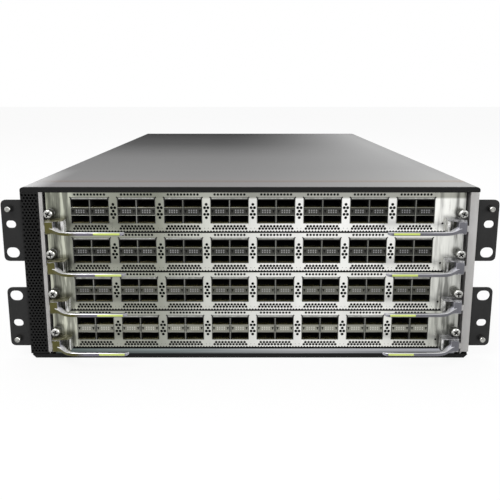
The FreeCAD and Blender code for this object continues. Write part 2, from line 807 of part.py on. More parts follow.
def fan_rotor(index):
    """Hub with a blind shaft bore and a ring of pitched flat blades."""
    middle_x, middle_z = fan_middle(index)
    hub_y = rear_y - fan_plate - fan_hub_gap
    start = Vec(middle_x, hub_y, middle_z)
    hub = round_bar(start, fan_hub_radius, fan_hub_sides, Vec(0.0, -fan_hub_length, 0.0))
    centre = Vec(middle_x, hub_y - fan_hub_length / 2.0, middle_z)
    tip = fan_bore_radius - blade_tip_gap
    root = fan_hub_radius - blade_root_depth
    blade = Part.makeBox(blade_chord, blade_thickness, tip - root)
    blade.translate(Vec(-blade_chord / 2.0, -blade_thickness / 2.0, root))
    blade.rotate(Vec(0, 0, 0), Vec(0, 0, 1), blade_angle)
    blade.translate(centre)
    blades = []
    for i in range(blade_count):
        copy = blade.copy()
        copy.rotate(centre, Vec(0, 1, 0), 360.0 * i / blade_count)
        blades.append(copy)
    rotor = join([hub] + blades)
    bore_depth = fan_shaft_length - fan_hub_gap + fan_shaft_end_gap
    bore_radius = fan_shaft_radius + fan_shaft_clearance
    bore = Part.makeCylinder(bore_radius, bore_depth, start, Vec(0.0, -1.0, 0.0))
    return rotor.cut(bore)


# ---- rack ears -------------------------------------------------------------------
def slot_outline(x, z, length, width, y):
    """A level slot with round ends, as a closed wire."""
    half = (length - width) / 2.0
    r = width / 2.0
    top = Part.LineSegment(Vec(x - half, y, z + r), Vec(x + half, y, z + r))
    right = Part.Arc(Vec(x + half, y, z + r), Vec(x + half + r, y, z), Vec(x + half, y, z - r))
    low = Part.LineSegment(Vec(x + half, y, z - r), Vec(x - half, y, z - r))
    left = Part.Arc(Vec(x - half, y, z - r), Vec(x - half - r, y, z), Vec(x - half, y, z + r))
    return Part.Wire([top.toShape(), right.toShape(), low.toShape(), left.toShape()])


def rack_ear(side, level):
    """Angle bracket on a side wall, with two slots for the rack's screws."""
    centre_z = body_height / 2.0 + level * ear_centre_offset
    z = span(centre_z, ear_height)
    y = (front_y + ear_setback, front_y + ear_setback + ear_sheet)
    flange = block(sorted((side * side_x, side * ear_end_x)), y, z)
    outer = [e for e in flange.Edges if is_ear_corner(e, side)]
    flange = flange.makeChamfer(ear_corner, outer)
    cuts = []
    slots = ((wide_slot_offset, wide_slot_length, wide_slot_width),)
    slots += ((narrow_slot_offset, narrow_slot_length, narrow_slot_width),)
    for offset, length, width in slots:
        slot_height = body_height / 2.0 + level * offset
        outline = slot_outline(side * ear_slot_x, slot_height, length, width, y[0])
        cuts.append(Part.Face(outline).extrude(Vec(0.0, ear_sheet, 0.0)))
    side_x_range = sorted((side * side_x, side * (side_x + ear_sheet)))
    cheek = block(side_x_range, (y[0], y[0] + ear_side_depth), z)
    return join([flange.cut(cuts), cheek])


def is_ear_corner(edge, side):
    """True for the two outer edges of an ear's flange that run front to back."""
    box = edge.BoundBox
    upright = box.XLength < edge_tolerance and box.ZLength < edge_tolerance
    return upright and side * box.XMin > side_x + ear_sheet


def ear_studs():
    """Guide screws at the far ends of the ears, each with a collar."""
    studs = []
    face_y = front_y + ear_setback
    for side in (-1, 1):
        for level in (-1, 1):
            seat = Vec(side * ear_slot_x, face_y, body_height / 2.0 + level * stud_offset)
            collar_length = Vec(0.0, -stud_collar_length, 0.0)
            collar = round_bar(seat, stud_collar_radius, stud_collar_sides, collar_length)
            stud = round_bar(seat, stud_radius, stud_sides, Vec(0.0, -stud_length, 0.0))
            studs.append(join([collar, stud]))
    return group(studs)


def build():
    """Every node's name and shape."""
    nodes = {
        "chassis_base": chassis_base(),
        "top_beam": top_beam(),
        "top_cover": top_cover(),
        "vent_column": vent_column(),
        "cage_wall_left": card_cage_wall(left_inner_x, 1, (left_wall_x, left_wall_x + left_strip_width)),
        "cage_wall_right": card_cage_wall(right_wall_x, -1, (right_wall_x, right_strip_end_x)),
        "nut_tabs": nut_tabs(),
        "guide_rails": guide_rails(),
        "front_sill": front_sill(),
        "midplane": midplane(),
        "midplane_connectors": midplane_connectors(),
        "rear_frame": rear_frame(),
        "ear_studs": ear_studs(),
    }
    for side, hand in ((-1, "left"), (1, "right")):
        for level, place in ((-1, "lower"), (1, "upper")):
            nodes["ear_" + place + "_" + hand] = rack_ear(side, level)
    for card in range(card_count):
        name = "card_" + str(card + 1)
        nodes[name + "_panel"] = card_panel(card)
        nodes[name + "_tray"] = card_tray(card)
        nodes[name + "_board"] = card_board(card)
        nodes[name + "_cages"] = port_cages(card)
        for side, hand in ((-1, "left"), (1, "right")):
            nodes[name + "_lever_" + hand] = ejector_lever(card, side)
            nodes[name + "_screw_" + hand] = thumbscrew(card, side)
    for index in range(supply_count):
        nodes["power_supply_" + str(index + 1)] = power_supply(index)
    for index in range(fan_count):
        nodes["fan_module_" + str(index + 1)] = fan_module(index)
        nodes["fan_rotor_" + str(index + 1)] = fan_rotor(index)
    return nodes


os.makedirs("parts", exist_ok=True)
for node, shape in build().items():
    shape.exportStep("parts/" + node + ".step")
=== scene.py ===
"""Looks of the modular chassis switch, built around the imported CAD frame.

Lengths in the named values are millimetres. Everything that reaches Blender is in metres.
A card's own heights count from the bottom of its slot, and its own widths from its middle.
A reach is in front of the front plane, a depth behind it.
"""
import math

import bmesh
import bpy
from mathutils import Matrix, Vector

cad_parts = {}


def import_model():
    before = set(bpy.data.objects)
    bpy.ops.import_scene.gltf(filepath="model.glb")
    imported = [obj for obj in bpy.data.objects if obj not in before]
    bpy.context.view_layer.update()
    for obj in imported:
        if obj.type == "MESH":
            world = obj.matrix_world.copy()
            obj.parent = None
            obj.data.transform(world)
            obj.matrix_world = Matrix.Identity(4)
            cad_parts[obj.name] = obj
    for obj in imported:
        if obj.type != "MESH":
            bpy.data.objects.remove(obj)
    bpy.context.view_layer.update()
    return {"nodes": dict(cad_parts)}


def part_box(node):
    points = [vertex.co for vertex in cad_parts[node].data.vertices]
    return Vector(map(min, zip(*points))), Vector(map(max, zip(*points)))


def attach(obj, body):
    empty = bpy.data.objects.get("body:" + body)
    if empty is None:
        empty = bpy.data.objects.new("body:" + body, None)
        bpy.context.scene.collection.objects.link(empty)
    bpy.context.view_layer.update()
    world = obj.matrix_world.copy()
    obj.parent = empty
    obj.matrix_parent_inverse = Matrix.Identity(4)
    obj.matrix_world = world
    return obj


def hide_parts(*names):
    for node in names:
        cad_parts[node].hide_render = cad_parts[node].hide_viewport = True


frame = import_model()

MM = 0.001
CARDS = (1, 2, 3, 4)
FANS = (1, 2, 3)
SIDES = (("left", -1), ("right", 1))
FRONT_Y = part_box("vent_column")[0].y / MM
FORWARDS = (0, -1, 0)
BACKWARDS = (0, 1, 0)
UPWARDS = (0, 0, 1)

# ---- viewpoint and studio
CAMERA_DISTANCE = 508.5
CAMERA_HEIGHT = 266.9
CAMERA_PITCH = 9.76
CAMERA_LENS = 38.86
SENSOR_WIDTH = 36.0
SHIFT_Y = -0.134
FLOOR_REACH = 8.0
FLOOR_TONE = 0.9
FLOOR_GLOW = 0.9
WORLD_LEVEL = 0.5
# name, place, target and size in metres, power in watts
LAMPS = (("key", (-0.9, -1.3, 1.9), (0.0, 0.0, 0.08), (1.2, 1.2), 22.0),
         ("fill", (1.5, -1.4, 0.9), (0.0, -0.2, 0.08), (1.0, 1.0), 9.0),
         ("top", (0.0, 0.5, 2.2), (0.0, 0.0, 0.1), (1.8, 1.4), 26.0))

# ---- card panel
PANEL_SHEET = 2.0
PANEL_SKIN = 0.45
PANEL_GAP = 0.8
GROUP_COUNT = 8
GROUP_WIDTH = 37.0
BACKING_GAP = 0.1
CUTOUT_GAP = 0.85
CUTOUT_LOWER_GAP = 0.4
CUTOUT_UPPER_GAP = 0.2
CUTOUT_RELIEF = 0.9
SKIN_GAP = 0.12
SKIN_RAISED = 0.6
TEETH_MARGIN = 14.0
TOOTH_PITCH = 2.9
TOOTH_HEIGHT = 1.35
VENT_PITCH = 3.17
VENT_RADIUS = 1.34
# height, count, radius
VENT_ROWS = ((37.7, 10, VENT_RADIUS * 0.92), (6.35, 10, VENT_RADIUS), (4.0, 11, VENT_RADIUS))
CLUSTER_RADIUS = 1.5
CLUSTER_ROWS = ((28.0, (0,)), (24.7, (-1.6, 1.6)), (21.4, (0,)), (18.2, (-1.6, 1.6)), (14.9, (0,)))
# distance from a port group's middle, height, radius
PIN_HOLES = ((15.6, 9.0, 0.45), (20.6, 4.4, 0.4))
# distance from the card's middle, height, radius
INDICATOR = (180.9, 9.3, 1.1)
FOLD_MARGIN = 21.0
FOLD_SHEET = 1.2
FOLD_DEPTHS = (PANEL_SHEET, PANEL_SHEET + 8.0)
SEAL_MARGIN = 6.0
SEAL_HEIGHTS = (0.05, 2.0)
SEAL_DEPTHS = (PANEL_SHEET, PANEL_SHEET + 0.6)

# ---- forks
LEVER_INSET = 5.7
PIVOT_REACH = 5.5
CLEVIS_BOTTOM = 1.0
CLEVIS_PLATE = 1.0
CLEVIS_INNER = 11.6
CLEVIS_INBOARD = 13.0
CLEVIS_OUTBOARD = 4.5
WINDOW_INBOARD = 0.5
FORK_REACH = 10.4
FORK_INNER_REACH = 8.4
FORK_CHAMFER = 2.2
FORK_CORNER = 1.5
FORK_EDGE = 0.15
RIVET_RADIUS = 1.5
RIVET_GAP = 0.01
POST_THICKNESS = 3.0
POST_DEPTHS = (-8.0, 0.0)
POST_GAP = 0.05
POST_EDGE = 0.6
CHEEK_DEPTHS = (-0.9, -0.1)
CHEEK_GAP = 0.6
CHEEK_EDGE = 0.3

# ---- ports
PORT_WIDTH = 17.0
PORT_HEIGHT = 7.6
DIVIDER = 1.8
CAGE_FLOOR = 0.5
GASKET_HEIGHT = 2.3
RIM_DEPTHS = (-0.4, 1.2)
RIM_EDGE = 0.06
RIM_INSET = 0.1
RIM_HALF = 0.2
RIM_SIDE = 0.3
MULLION_DEPTHS = (-0.45, 1.2)
MULLION_HALF = 0.22
PIPE_HALF = 8.3
PIPE_DEPTHS = (-0.15, 0.5)
PIPE_HEIGHTS = (0.3, 7.3)
PIPE_EDGE = 0.1
WINDOW_COUNT = 4
WINDOW_PITCH = 2.3
WINDOW_ROWS = (2.9, 4.9)
WINDOW_HALVES = (0.62, 0.72)
WINDOW_DEPTHS = (-0.3, 0.0)
WINDOW_EDGE = 0.12
ARROW_PLACE = 6.9
ARROW_HALF = 1.1
ARROW_HEIGHTS = (2.2, 5.2)
ARROW_SHEET = 0.2
GASKET_MARGIN = 1.3
GASKET_HEIGHTS = (-1.55, -0.25)
GASKET_DEPTHS = (-0.3, 0.5)
GASKET_EDGE = 0.3
FINGER_COUNT = 11
FINGER_PITCH = 3.1
FINGER_HALF = 1.1
FINGER_HEIGHTS = (-1.25, -0.45)
FINGER_DEPTHS = (-0.5, 0.0)
FINGER_EDGE = 0.25
SOCKET_HALF = 6.5
SOCKET_DEPTHS = (30.0, 44.0)
SOCKET_HEIGHTS = (1.2, 5.6)
SOCKET_EDGE = 0.3
SPRING_COUNT = 7
SPRING_PITCH = 2.3
SPRING_HALF = 0.95
SPRING_START = 0.6
SPRING_LENGTH = 3.6
SPRING_STEP = 1.2
SPRING_HEIGHTS = (0.1, 0.4)
SPRING_EDGE = 0.08
# painted light by card, from the lowest: the same strips and windows are lit on the lowest card and
# shaded higher up
PIPE_LIGHTING_FINISHES = ("pipe_pale", "pipe_middle", "pipe_dark", "pipe_dark")
WINDOW_LIGHTING_FINISHES = ("window_pale", "window_dark", "window_dark", "window_dark")

# ---- levers
HUB_GAP = 0.3
HUB_RADIUS = 4.0
HUB_EDGE = 0.3
# outboard of the pivot, reach
HUB_FRONT = ((HUB_RADIUS, 11.2), (HUB_RADIUS - 0.7, 11.8), (0.6, 12.0), (-0.4, 11.7),
             (-HUB_RADIUS + 0.4, 11.9), (-HUB_RADIUS, 11.4))
ARM_EDGE = 0.35
# inboard of the pivot, reach of the middle line, low, high, half thickness, fall of the top
ARM_STATIONS = ((0.5, 9.4, 0.1, 6.0, 2.2, 1.0), (4.0, 10.8, 0.1, 5.8, 2.2, 1.3),
                (7.2, 13.2, 0.2, 5.2, 2.1, 1.3), (10.6, 16.4, 0.3, 4.4, 1.9, 0.8),
                (14.0, 19.2, 0.4, 3.8, 1.6, 0.3), (17.8, 20.8, 0.5, 3.75, 1.45, 0.0),
                (22.0, 21.4, 0.5, 3.7, 1.4, 0.0), (46.0, 21.5, 0.5, 3.7, 1.35, 0.0),
                (69.0, 21.5, 0.5, 3.7, 1.35, 0.0), (70.8, 20.7, 0.6, 3.5, 1.25, 0.0),
                (72.6, 18.4, 0.8, 3.2, 0.8, 0.0))
TOE_OUTBOARD = (3.4, 7.8)
TOE_DEPTHS = (-6.6, -4.2)
TOE_HEIGHTS = (0.2, 6.0)
TOE_EDGE = 0.5
GRIP_SPANS = {"left": (126.8, 151.4), "right": (128.2, 152.6)}
GRIP_DEPTHS = (-23.0, -22.2)
GRIP_HEIGHTS = (1.2, 3.3)
GRIP_EDGE = 0.2

# ---- thumbscrews, with profiles of (radius, distance)
SCREW_INSET = 4.0
SCREW_HEIGHT = 19.6
SCREW_HOLE = 2.4
SCREW_RADIUS = 4.2
SCREW_LENGTH = 7.5
SCREW_GAP = 0.5
SCREW_REACH = SCREW_GAP + SCREW_LENGTH
KNURL_COUNT = 72
# reach, share of the radius, depth of the grooves
KNURL_RINGS = ((SCREW_GAP, 0.92, 0.0), (SCREW_GAP + 0.4, 1.0, 0.22), (SCREW_REACH - 1.0, 1.0, 0.22),
               (SCREW_REACH - 0.5, 0.96, 0.0), (SCREW_REACH - 0.05, 0.86, 0.0))
COLLAR = ((3.0, 0.0), (4.5, 0.0), (4.5, 0.6), (4.2, 0.8), (3.0, 1.0))
COLLAR_REACH = 0.2
HEAD_BEVEL = ((SCREW_RADIUS - 0.4, 0.0), (SCREW_RADIUS + 0.1, 0.3), (SCREW_RADIUS + 0.1, 1.6),
              (SCREW_RADIUS - 0.5, 2.15))
BEVEL_DEPTH = 2.2
SHANK = ((0.0, -17.0), (1.6, -17.0), (1.9, -16.6), (1.9, 0.6))
RECESS = ((0.0, 0.0), (3.3, 0.0))
RECESS_DEPTH = 0.8
CROSS_HALF = 0.6
CROSS_REACH = 2.5
HEAD_FACE = 0.9
HEAD_FACE_EDGE = 0.12
CROSS_TURN = 20.0
CROSS_STEP = 35.0

# ---- chassis
INLET_PITCH = 3.3
INLET_RADIUS = 1.15
INLET_COUNT = 5
INLET_MARGIN = 4.0
INLET_SHIFT = 0.3
INLET_SHEET = 1.5
INLET_INNER_FOLD = 0.8
INLET_OUTER_FOLD = 0.6
GUARD_RINGS = (24.0, 34.0, 44.0, 54.0)
GUARD_WIRE = 0.9
SPOKE_GAP = 0.1
SPOKE_EDGE = 0.3
EAR_SHEET = 2.0
EAR_SETBACK = 1.8
EAR_CORNER = 5.5
EAR_CORNER_STEPS = 6
EAR_EDGE = 0.25
EAR_SLOT_INSET = 8.75
# height from the middle, length, width
EAR_SLOTS = ((22.225, 13.0, 10.5), (50.8, 10.0, 7.5))
STUD_INSET = (3.6, 4.0)
STUD_FOOT = ((0.0, 0.0), (3.5, 0.0), (3.5, 0.8), (3.1, 1.2), (0.0, 1.2))
STUD_BAR = ((0.0, 0.0), (2.1, 0.0), (2.1, 1.9), (2.7, 2.1), (2.7, 5.5), (2.3, 5.95), (0.0, 5.98))


# ---- mesh helpers
def around(middle, half):
    """The two ends of a span about its middle."""
    return middle - half, middle + half


def shifted(base, ends):
    """The ends of a span that is given from a base."""
    return [base + end for end in ends]


def sided(middle, side, first, second):
    """The ends of a span to one side of a middle, the lower one first."""
    return sorted((middle + side * first, middle + side * second))


def circle(x, y, radius, count=12):
    """Points of a circle, clockwise, for a hole in a sheet."""
    steps = [-2.0 * math.pi * i / count for i in range(count)]
    return [(x + radius * math.cos(a), y + radius * math.sin(a)) for a in steps]


def rounded(points, radius, count=4):
    """The outline with each corner cut by a short arc-like run of points."""
    most = 0.45
    result = []
    total = len(points)
    for i, point in enumerate(points):
        here = Vector(point)
        to_last = Vector(points[i - 1]) - here
        to_next = Vector(points[(i + 1) % total]) - here
        reach = min(radius, to_last.length * most, to_next.length * most)
        start = here + to_last.normalized() * reach
        end = here + to_next.normalized() * reach
        for k in range(count + 1):
            t = k / count
            bend = start.lerp(here, t).lerp(here.lerp(end, t), t)
            result.append((bend.x, bend.y))
    return result


def finished(bm):
    """The mesh of a bmesh that is complete."""
    mesh = bpy.data.meshes.new("mesh")
    bm.to_mesh(mesh)
    bm.free()
    return mesh


def faced_out(bm):
    """The same, with all faces pointing outwards."""
    bmesh.ops.recalc_face_normals(bm, faces=bm.faces)
    return finished(bm)


def placed(name, data):
    """A new object in the scene."""
    obj = bpy.data.objects.new(name, data)
    bpy.context.scene.collection.objects.link(obj)
    return obj


def sheet_mesh(outline, holes, thickness, bevel=0.0):
    """A flat sheet in XY, centred on Z, with holes cut through it. Sizes in mm."""
    curve = bpy.data.curves.new("outline", "CURVE")
    curve.dimensions = "2D"
    curve.fill_mode = "BOTH"
    curve.extrude = (thickness / 2.0 - bevel) * MM
    curve.bevel_depth = bevel * MM
    curve.bevel_resolution = 1
    curve.offset = -bevel * MM
    for points in [outline] + holes:
        spline = curve.splines.new("POLY")
        spline.points.add(len(points) - 1)
        for target, (x, y) in zip(spline.points, points):
            target.co = (x * MM, y * MM, 0.0, 1.0)
        spline.use_cyclic_u = True
    holder = placed("outline", curve)
    bpy.context.view_layer.update()
    depsgraph = bpy.context.evaluated_depsgraph_get()
    filled = bpy.data.meshes.new_from_object(holder.evaluated_get(depsgraph))
    bpy.data.objects.remove(holder)
    bpy.data.curves.remove(curve)
    bm = bmesh.new()
    bm.from_mesh(filled)
    bmesh.ops.remove_doubles(bm, verts=bm.verts, dist=1e-6)
    return faced_out(bm)


def stand_up(mesh, y):
    """Turns a sheet drawn in XY to stand in XZ with its middle at y mm."""
    turn = Matrix.Rotation(math.pi / 2.0, 4, "X")
    mesh.transform(Matrix.Translation((0.0, y * MM, 0.0)) @ turn)
    return mesh


def lay_flat(mesh, z):
    """Lifts a sheet drawn in XY to z mm."""
    mesh.transform(Matrix.Translation((0.0, 0.0, z * MM)))
    return mesh


def box_mesh(x, y, z, bevel=0.0, segments=2):
    """A box between the given ends on each axis, in mm, with rounded edges."""
    bm = bmesh.new()
    size = [abs(r[1] - r[0]) * MM for r in (x, y, z)]
    middle = [(r[0] + r[1]) / 2.0 * MM for r in (x, y, z)]
    place = Matrix.Translation(middle) @ Matrix.Diagonal(size + [1.0])
    bmesh.ops.create_cube(bm, size=1.0, matrix=place)
    if bevel:
        bmesh.ops.bevel(bm, geom=list(bm.edges), offset=bevel * MM, segments=segments,
                        profile=0.5, affect="EDGES")
    return finished(bm)


def join_rings(bm, rings):
    """Faces between each ring of vertices and the next. A ring of one vertex is a tip."""
    count = max(len(ring) for ring in rings)
    for low, high in zip(rings, rings[1:]):
        for i in range(count):
            j = (i + 1) % count
            quad = [low[i % len(low)], low[j % len(low)], high[j % len(high)], high[i % len(high)]]
            bm.faces.new([v for k, v in enumerate(quad) if v not in quad[:k]])


def turned_mesh(profile, centre, axis, count=32):
    """A profile of (radius, distance) pairs in mm turned about an axis through centre."""
    bm = bmesh.new()
    along = Vector(axis)
    side = along.orthogonal().normalized()
    other = along.cross(side)
    rings = []
    for radius, distance in profile:
        base = Vector(centre) + along * distance
        steps = range(count if radius else 1)
        ring = []
        for a in (2.0 * math.pi * i / count for i in steps):
            point = base + (side * math.cos(a) + other * math.sin(a)) * radius
            ring.append(bm.verts.new(point * MM))
        rings.append(ring)
    join_rings(bm, rings)
    return faced_out(bm)


def merged(meshes):
    """One mesh that holds all the given ones."""
    bm = bmesh.new()
    for mesh in meshes:
        bm.from_mesh(mesh)
    return finished(bm)


def piece(name, mesh, body, finish, smooth=None):
    """A named object that rides on a body and takes the finish of the given name."""
    obj = placed(name, mesh)
    mesh.name = name
    mesh.materials.clear()
    mesh.materials.append(MATERIALS[finish])
    if smooth is not None:
        mesh.polygons.foreach_set("use_smooth", [True] * len(mesh.polygons))
        mesh.set_sharp_from_angle(angle=math.radians(smooth))
    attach(obj, body)
    return obj


# ---- finishes
MATERIALS = {}
EVEN = (1.0, 1.0, 1.0)
UPRIGHT = (1.0, 0.4, 0.1)
GRAIN_DETAIL = 5.0
ROUGH_SPREAD = 0.08
COAT_SPREAD = 0.06


def colour(tone):
    """A linear colour from a hex display colour or a grey level. A colour stays as it is."""
    if isinstance(tone, tuple):
        return tone
    if isinstance(tone, float):
        return (tone, tone, tone)
    values = [int(tone[i:i + 2], 16) / 255.0 for i in (0, 2, 4)]
    return tuple(v / 12.92 if v <= 0.04045 else ((v + 0.055) / 1.055) ** 2.4 for v in values)


def warm(grey):
    """A grey with a slight warm tint."""
    return (grey, grey, grey * 0.93)


class Look:
    """The nodes of a material or a world, with short ways to add to them."""

    def __init__(self, owner):
        owner.use_nodes = True
        self.nodes = owner.node_tree.nodes
        self.links = owner.node_tree.links
        self.shader = self.nodes.get("Principled BSDF")

    def feed(self, value, socket):
        """Links a value to a socket, or sets the socket where the value is plain."""
        if isinstance(value, bpy.types.NodeSocket):
            self.links.new(value, socket)
        elif isinstance(value, (str, tuple)):
            socket.default_value = (*colour(value), 1.0)
        else:
            socket.default_value = value

    def give(self, name, value):
        """Links or sets one of the shader's own sockets."""
        self.feed(value, self.shader.inputs[name])

    def add(self, kind, inputs=()):
        """A new node, with some of its inputs linked or set."""
        node = self.nodes.new("ShaderNode" + kind)
        for name, value in inputs:
            self.feed(value, node.inputs[name])
        return node

    def noise(self, scale, stretch=EVEN, detail=3.0):
        """Noise over the object's own coordinates, stretched along the axes."""
        coords = self.add("TexCoord").outputs["Object"]
        mapping = self.add("Mapping", [("Vector", coords)])
        mapping.inputs["Scale"].default_value = stretch
        inputs = [("Vector", mapping.outputs["Vector"]), ("Scale", scale), ("Detail", detail)]
        return self.add("TexNoise", inputs).outputs["Fac"]

    def ramp(self, value, *stops):
        """A colour ramp over a value, with stops of (place, tone)."""
        node = self.add("ValToRGB", [("Fac", value)])
        elements = node.color_ramp.elements
        while len(elements) < len(stops):
            elements.new(0.5)
        for element, (place, tone) in zip(elements, stops):
            element.position = place
            element.color = (*colour(tone), 1.0)
        return node.outputs["Color"]

    def level(self, value, low, high):
        """Maps 0..1 to a range."""
        inputs = [("Value", value), ("To Min", low), ("To Max", high)]
        return self.add("MapRange", inputs).outputs["Result"]

    def along(self, output, axis, low, high):
        """A coordinate in the object's own space, or of its normal, as 0..1 between two values."""
        coords = self.add("TexCoord").outputs[output]
        split = self.add("SeparateXYZ", [("Vector", coords)])
        inputs = [("Value", split.outputs[axis]), ("From Min", low), ("From Max", high)]
        return self.add("MapRange", inputs).outputs["Result"]

    def blend(self, factor, first, second, kind="MIX"):
        """Mixes two colours, each given as a link or as a tone."""
        node = self.add("Mix")
        node.data_type = "RGBA"
        node.blend_type = kind
        for name, value in (("Factor", factor), ("A", first), ("B", second)):
            self.feed(value, node.inputs[name])
        return node.outputs["Result"]

    def tinted(self, base, tint):
        """A colour multiplied by another."""
        return self.blend(1.0, base, tint, "MULTIPLY")

    def clouded(self, base, value, *stops):
        """A colour multiplied by a ramp over a value."""
        return self.tinted(base, self.ramp(value, *stops))

    def combine(self, kind, first, second):
        """Two values through a node for arithmetic."""
        node = self.add("Math", [(0, first), (1, second)])
        node.operation = kind
        return node.outputs["Value"]

    def bump(self, height, distance):
        """Feeds a height into the shader's normal."""
        node = self.add("Bump", [("Height", height), ("Distance", distance), ("Strength", 1.0)])
        self.give("Normal", node.outputs["Normal"])

    def grained(self, rough, scale=260.0, stretch=EVEN):
        """Roughness that varies with a fine grain."""
        grain = self.noise(scale, stretch, GRAIN_DETAIL)
        self.give("Roughness", self.level(grain, rough - ROUGH_SPREAD, rough + ROUGH_SPREAD))

    def seen_directly(self):
        """1 where a surface is seen, also in metal or through glass, and 0 for its light."""
        rays = self.add("LightPath").outputs
        value = rays["Is Camera Ray"]
        for name in ("Is Glossy Ray", "Is Transmission Ray"):
            value = self.combine("MAXIMUM", value, rays[name])
        return value


def new_look(name, metallic=0.0):
    """The look of a new material, which is kept by its name."""
    MATERIALS[name] = bpy.data.materials.new(name)
    look = Look(MATERIALS[name])
    look.give("Metallic", metallic)
    return look


def coat(name, low, high, roughness, grain=900.0, relief=0.00002, specular=0.4):
    """Powder coat or moulded plastic: a fine pebbled grain over a faint change of tone."""
    look = new_look(name)
    look.give("Base Color", look.ramp(look.noise(9.0), (0.3, low), (0.7, high)))
    pebble = look.noise(grain, detail=2.0)
    look.give("Roughness", look.level(pebble, roughness - COAT_SPREAD, roughness + COAT_SPREAD))
    look.bump(pebble, relief)
    look.give("Specular IOR Level", specular)


def plate(name, low, high, roughness, stretch=EVEN, scale=30.0, metallic=1.0):
    """Bare or plated sheet: rolled grain and a cloudy tone."""
    look = new_look(name, metallic)
    look.give("Base Color", look.ramp(look.noise(scale, stretch), (0.3, low), (0.7, high)))
    look.grained(roughness, scale * 9.0, stretch)


def streaked_reflection(name, stops, size, stretch):
    """Polished sheet with painted reflections: hard bands of light and dark."""
    look = new_look(name, 0.4)
    look.give("Specular IOR Level", 0.3)
    look.give("Base Color", look.ramp(look.noise(size, stretch, 2.0), *stops))
    look.grained(0.28, 500.0)


# painted reflection across each panel, lit differently from card to card: place from left to right,
# tone on card 1, tone on card 4
PANEL_REFLECTION_TONES = ((0.0, "8c8d80", "74766a"), (0.08, "9e9f94", "9d9f93"), (0.27, "a8aaa0", "919387"),
               (0.38, "c6c7c0", "d0d1c9"), (0.55, "eeeeea", "fbfbf8"), (0.8, "eaeae5", "fbfbf8"),
               (0.93, "bebfb7", "fbfbf6"), (1.0, "9a9b96", "d2d3ce"))


def panel_metal_painted_reflection(card):
    """Plated panel with a painted reflection: dull olive on the left, bright from the middle on,
    with painted reflection streaks near the ends and painted shade under the top lip.
    """
    look = new_look("panel_%d" % card, 1.0)
    across = look.along("Object", "X", -0.2, 0.21)
    rise = (card - 1.0) / (CARDS[-1] - 1.0)
    tones = []
    for place, lowest, highest in PANEL_REFLECTION_TONES:
        pair = zip(colour(lowest), colour(highest))
        tones.append((place, tuple(a + (b - a) * rise for a, b in pair)))
    base = look.ramp(across, *tones)
    # painted reflection: upright streaks of light and dark near each end
    reflection_streaks = look.noise(260.0, (1.0, 1.0, 0.09), 3.0)
    for start, end, highlight in ((-0.166, -0.180, 2.3), (0.175, 0.189, 1.12)):
        stops = ((0.34, 0.36), (0.42, 0.72), (0.52, 1.0), (0.61, highlight))
        part = look.along("Object", "X", start, end)
        base = look.blend(part, base, look.clouded(base, reflection_streaks, *stops))
    cloud = look.noise(26.0, (1.0, 1.0, 0.3))
    base = look.clouded(base, cloud, (0.3, 0.86), (0.7, 1.04))
    # painted shade: a darker band under the top lip on the highest card, from the middle rightwards
    if card == CARDS[-1]:
        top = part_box("card_%d_panel" % card)[1].z
        lip_shade = look.along("Object", "Z", top - 0.0064, top - 0.0046)
        rightward = look.along("Object", "X", -0.12, 0.0)
        part = look.combine("MULTIPLY", lip_shade, rightward)
        base = look.blend(part, base, look.tinted(base, warm(0.42)))
    look.give("Base Color", base)
    look.grained(0.30, 260.0, (1.0, 1.0, 0.2))


def lever_metal_painted_light(name, front, far, side, ends, top, bend):
    """Cast lever finish with painted light: front faces in a low tone, painted highlights on tops,
    slopes and inner sides.
    """
    look = new_look(name, 0.85)
    along = look.along("Object", "X", *ends)
    base = look.ramp(along, (0.0, front), (0.8, front), (1.0, far))
    # painted highlights by which way a face turns: inner sides, slopes and tops are lighter
    inner = look.along("Normal", "X", -side * 0.25, -side * 0.95)
    base = look.blend(inner, base, "b4b4bc")
    base = look.blend(look.along("Normal", "Z", 0.35, 0.65), base, "dcdce0")
    tops = look.ramp(along, (0.0, "eeeef0"), (bend, "eeeef0"), (bend + 0.18, top))
    base = look.blend(look.along("Normal", "Z", 0.75, 0.95), base, tops)
    cloud = look.noise(60.0, (0.6, 1.0, 1.0))
    look.give("Base Color", look.clouded(base, cloud, (0.3, 0.85), (0.7, 1.12)))
    look.grained(0.34, 700.0)


def screw_metal_painted_shade():
    """Bright turned metal with painted shade on faces turned down and a painted highlight on faces
    turned up.
    """
    look = new_look("nickel", 1.0)
    # painted shade and highlight by the face's Z direction
    height = look.along("Normal", "Z", -1.0, 1.0)
    tone = look.ramp(height, (0.05, "4c4c48"), (0.42, "7c7c78"), (0.5, "a6a6a2"), (0.6, "e2e2de"))
    look.give("Base Color", look.clouded(tone, look.noise(420.0), (0.35, 0.55), (0.6, 1.1)))
    look.grained(0.24, 900.0)


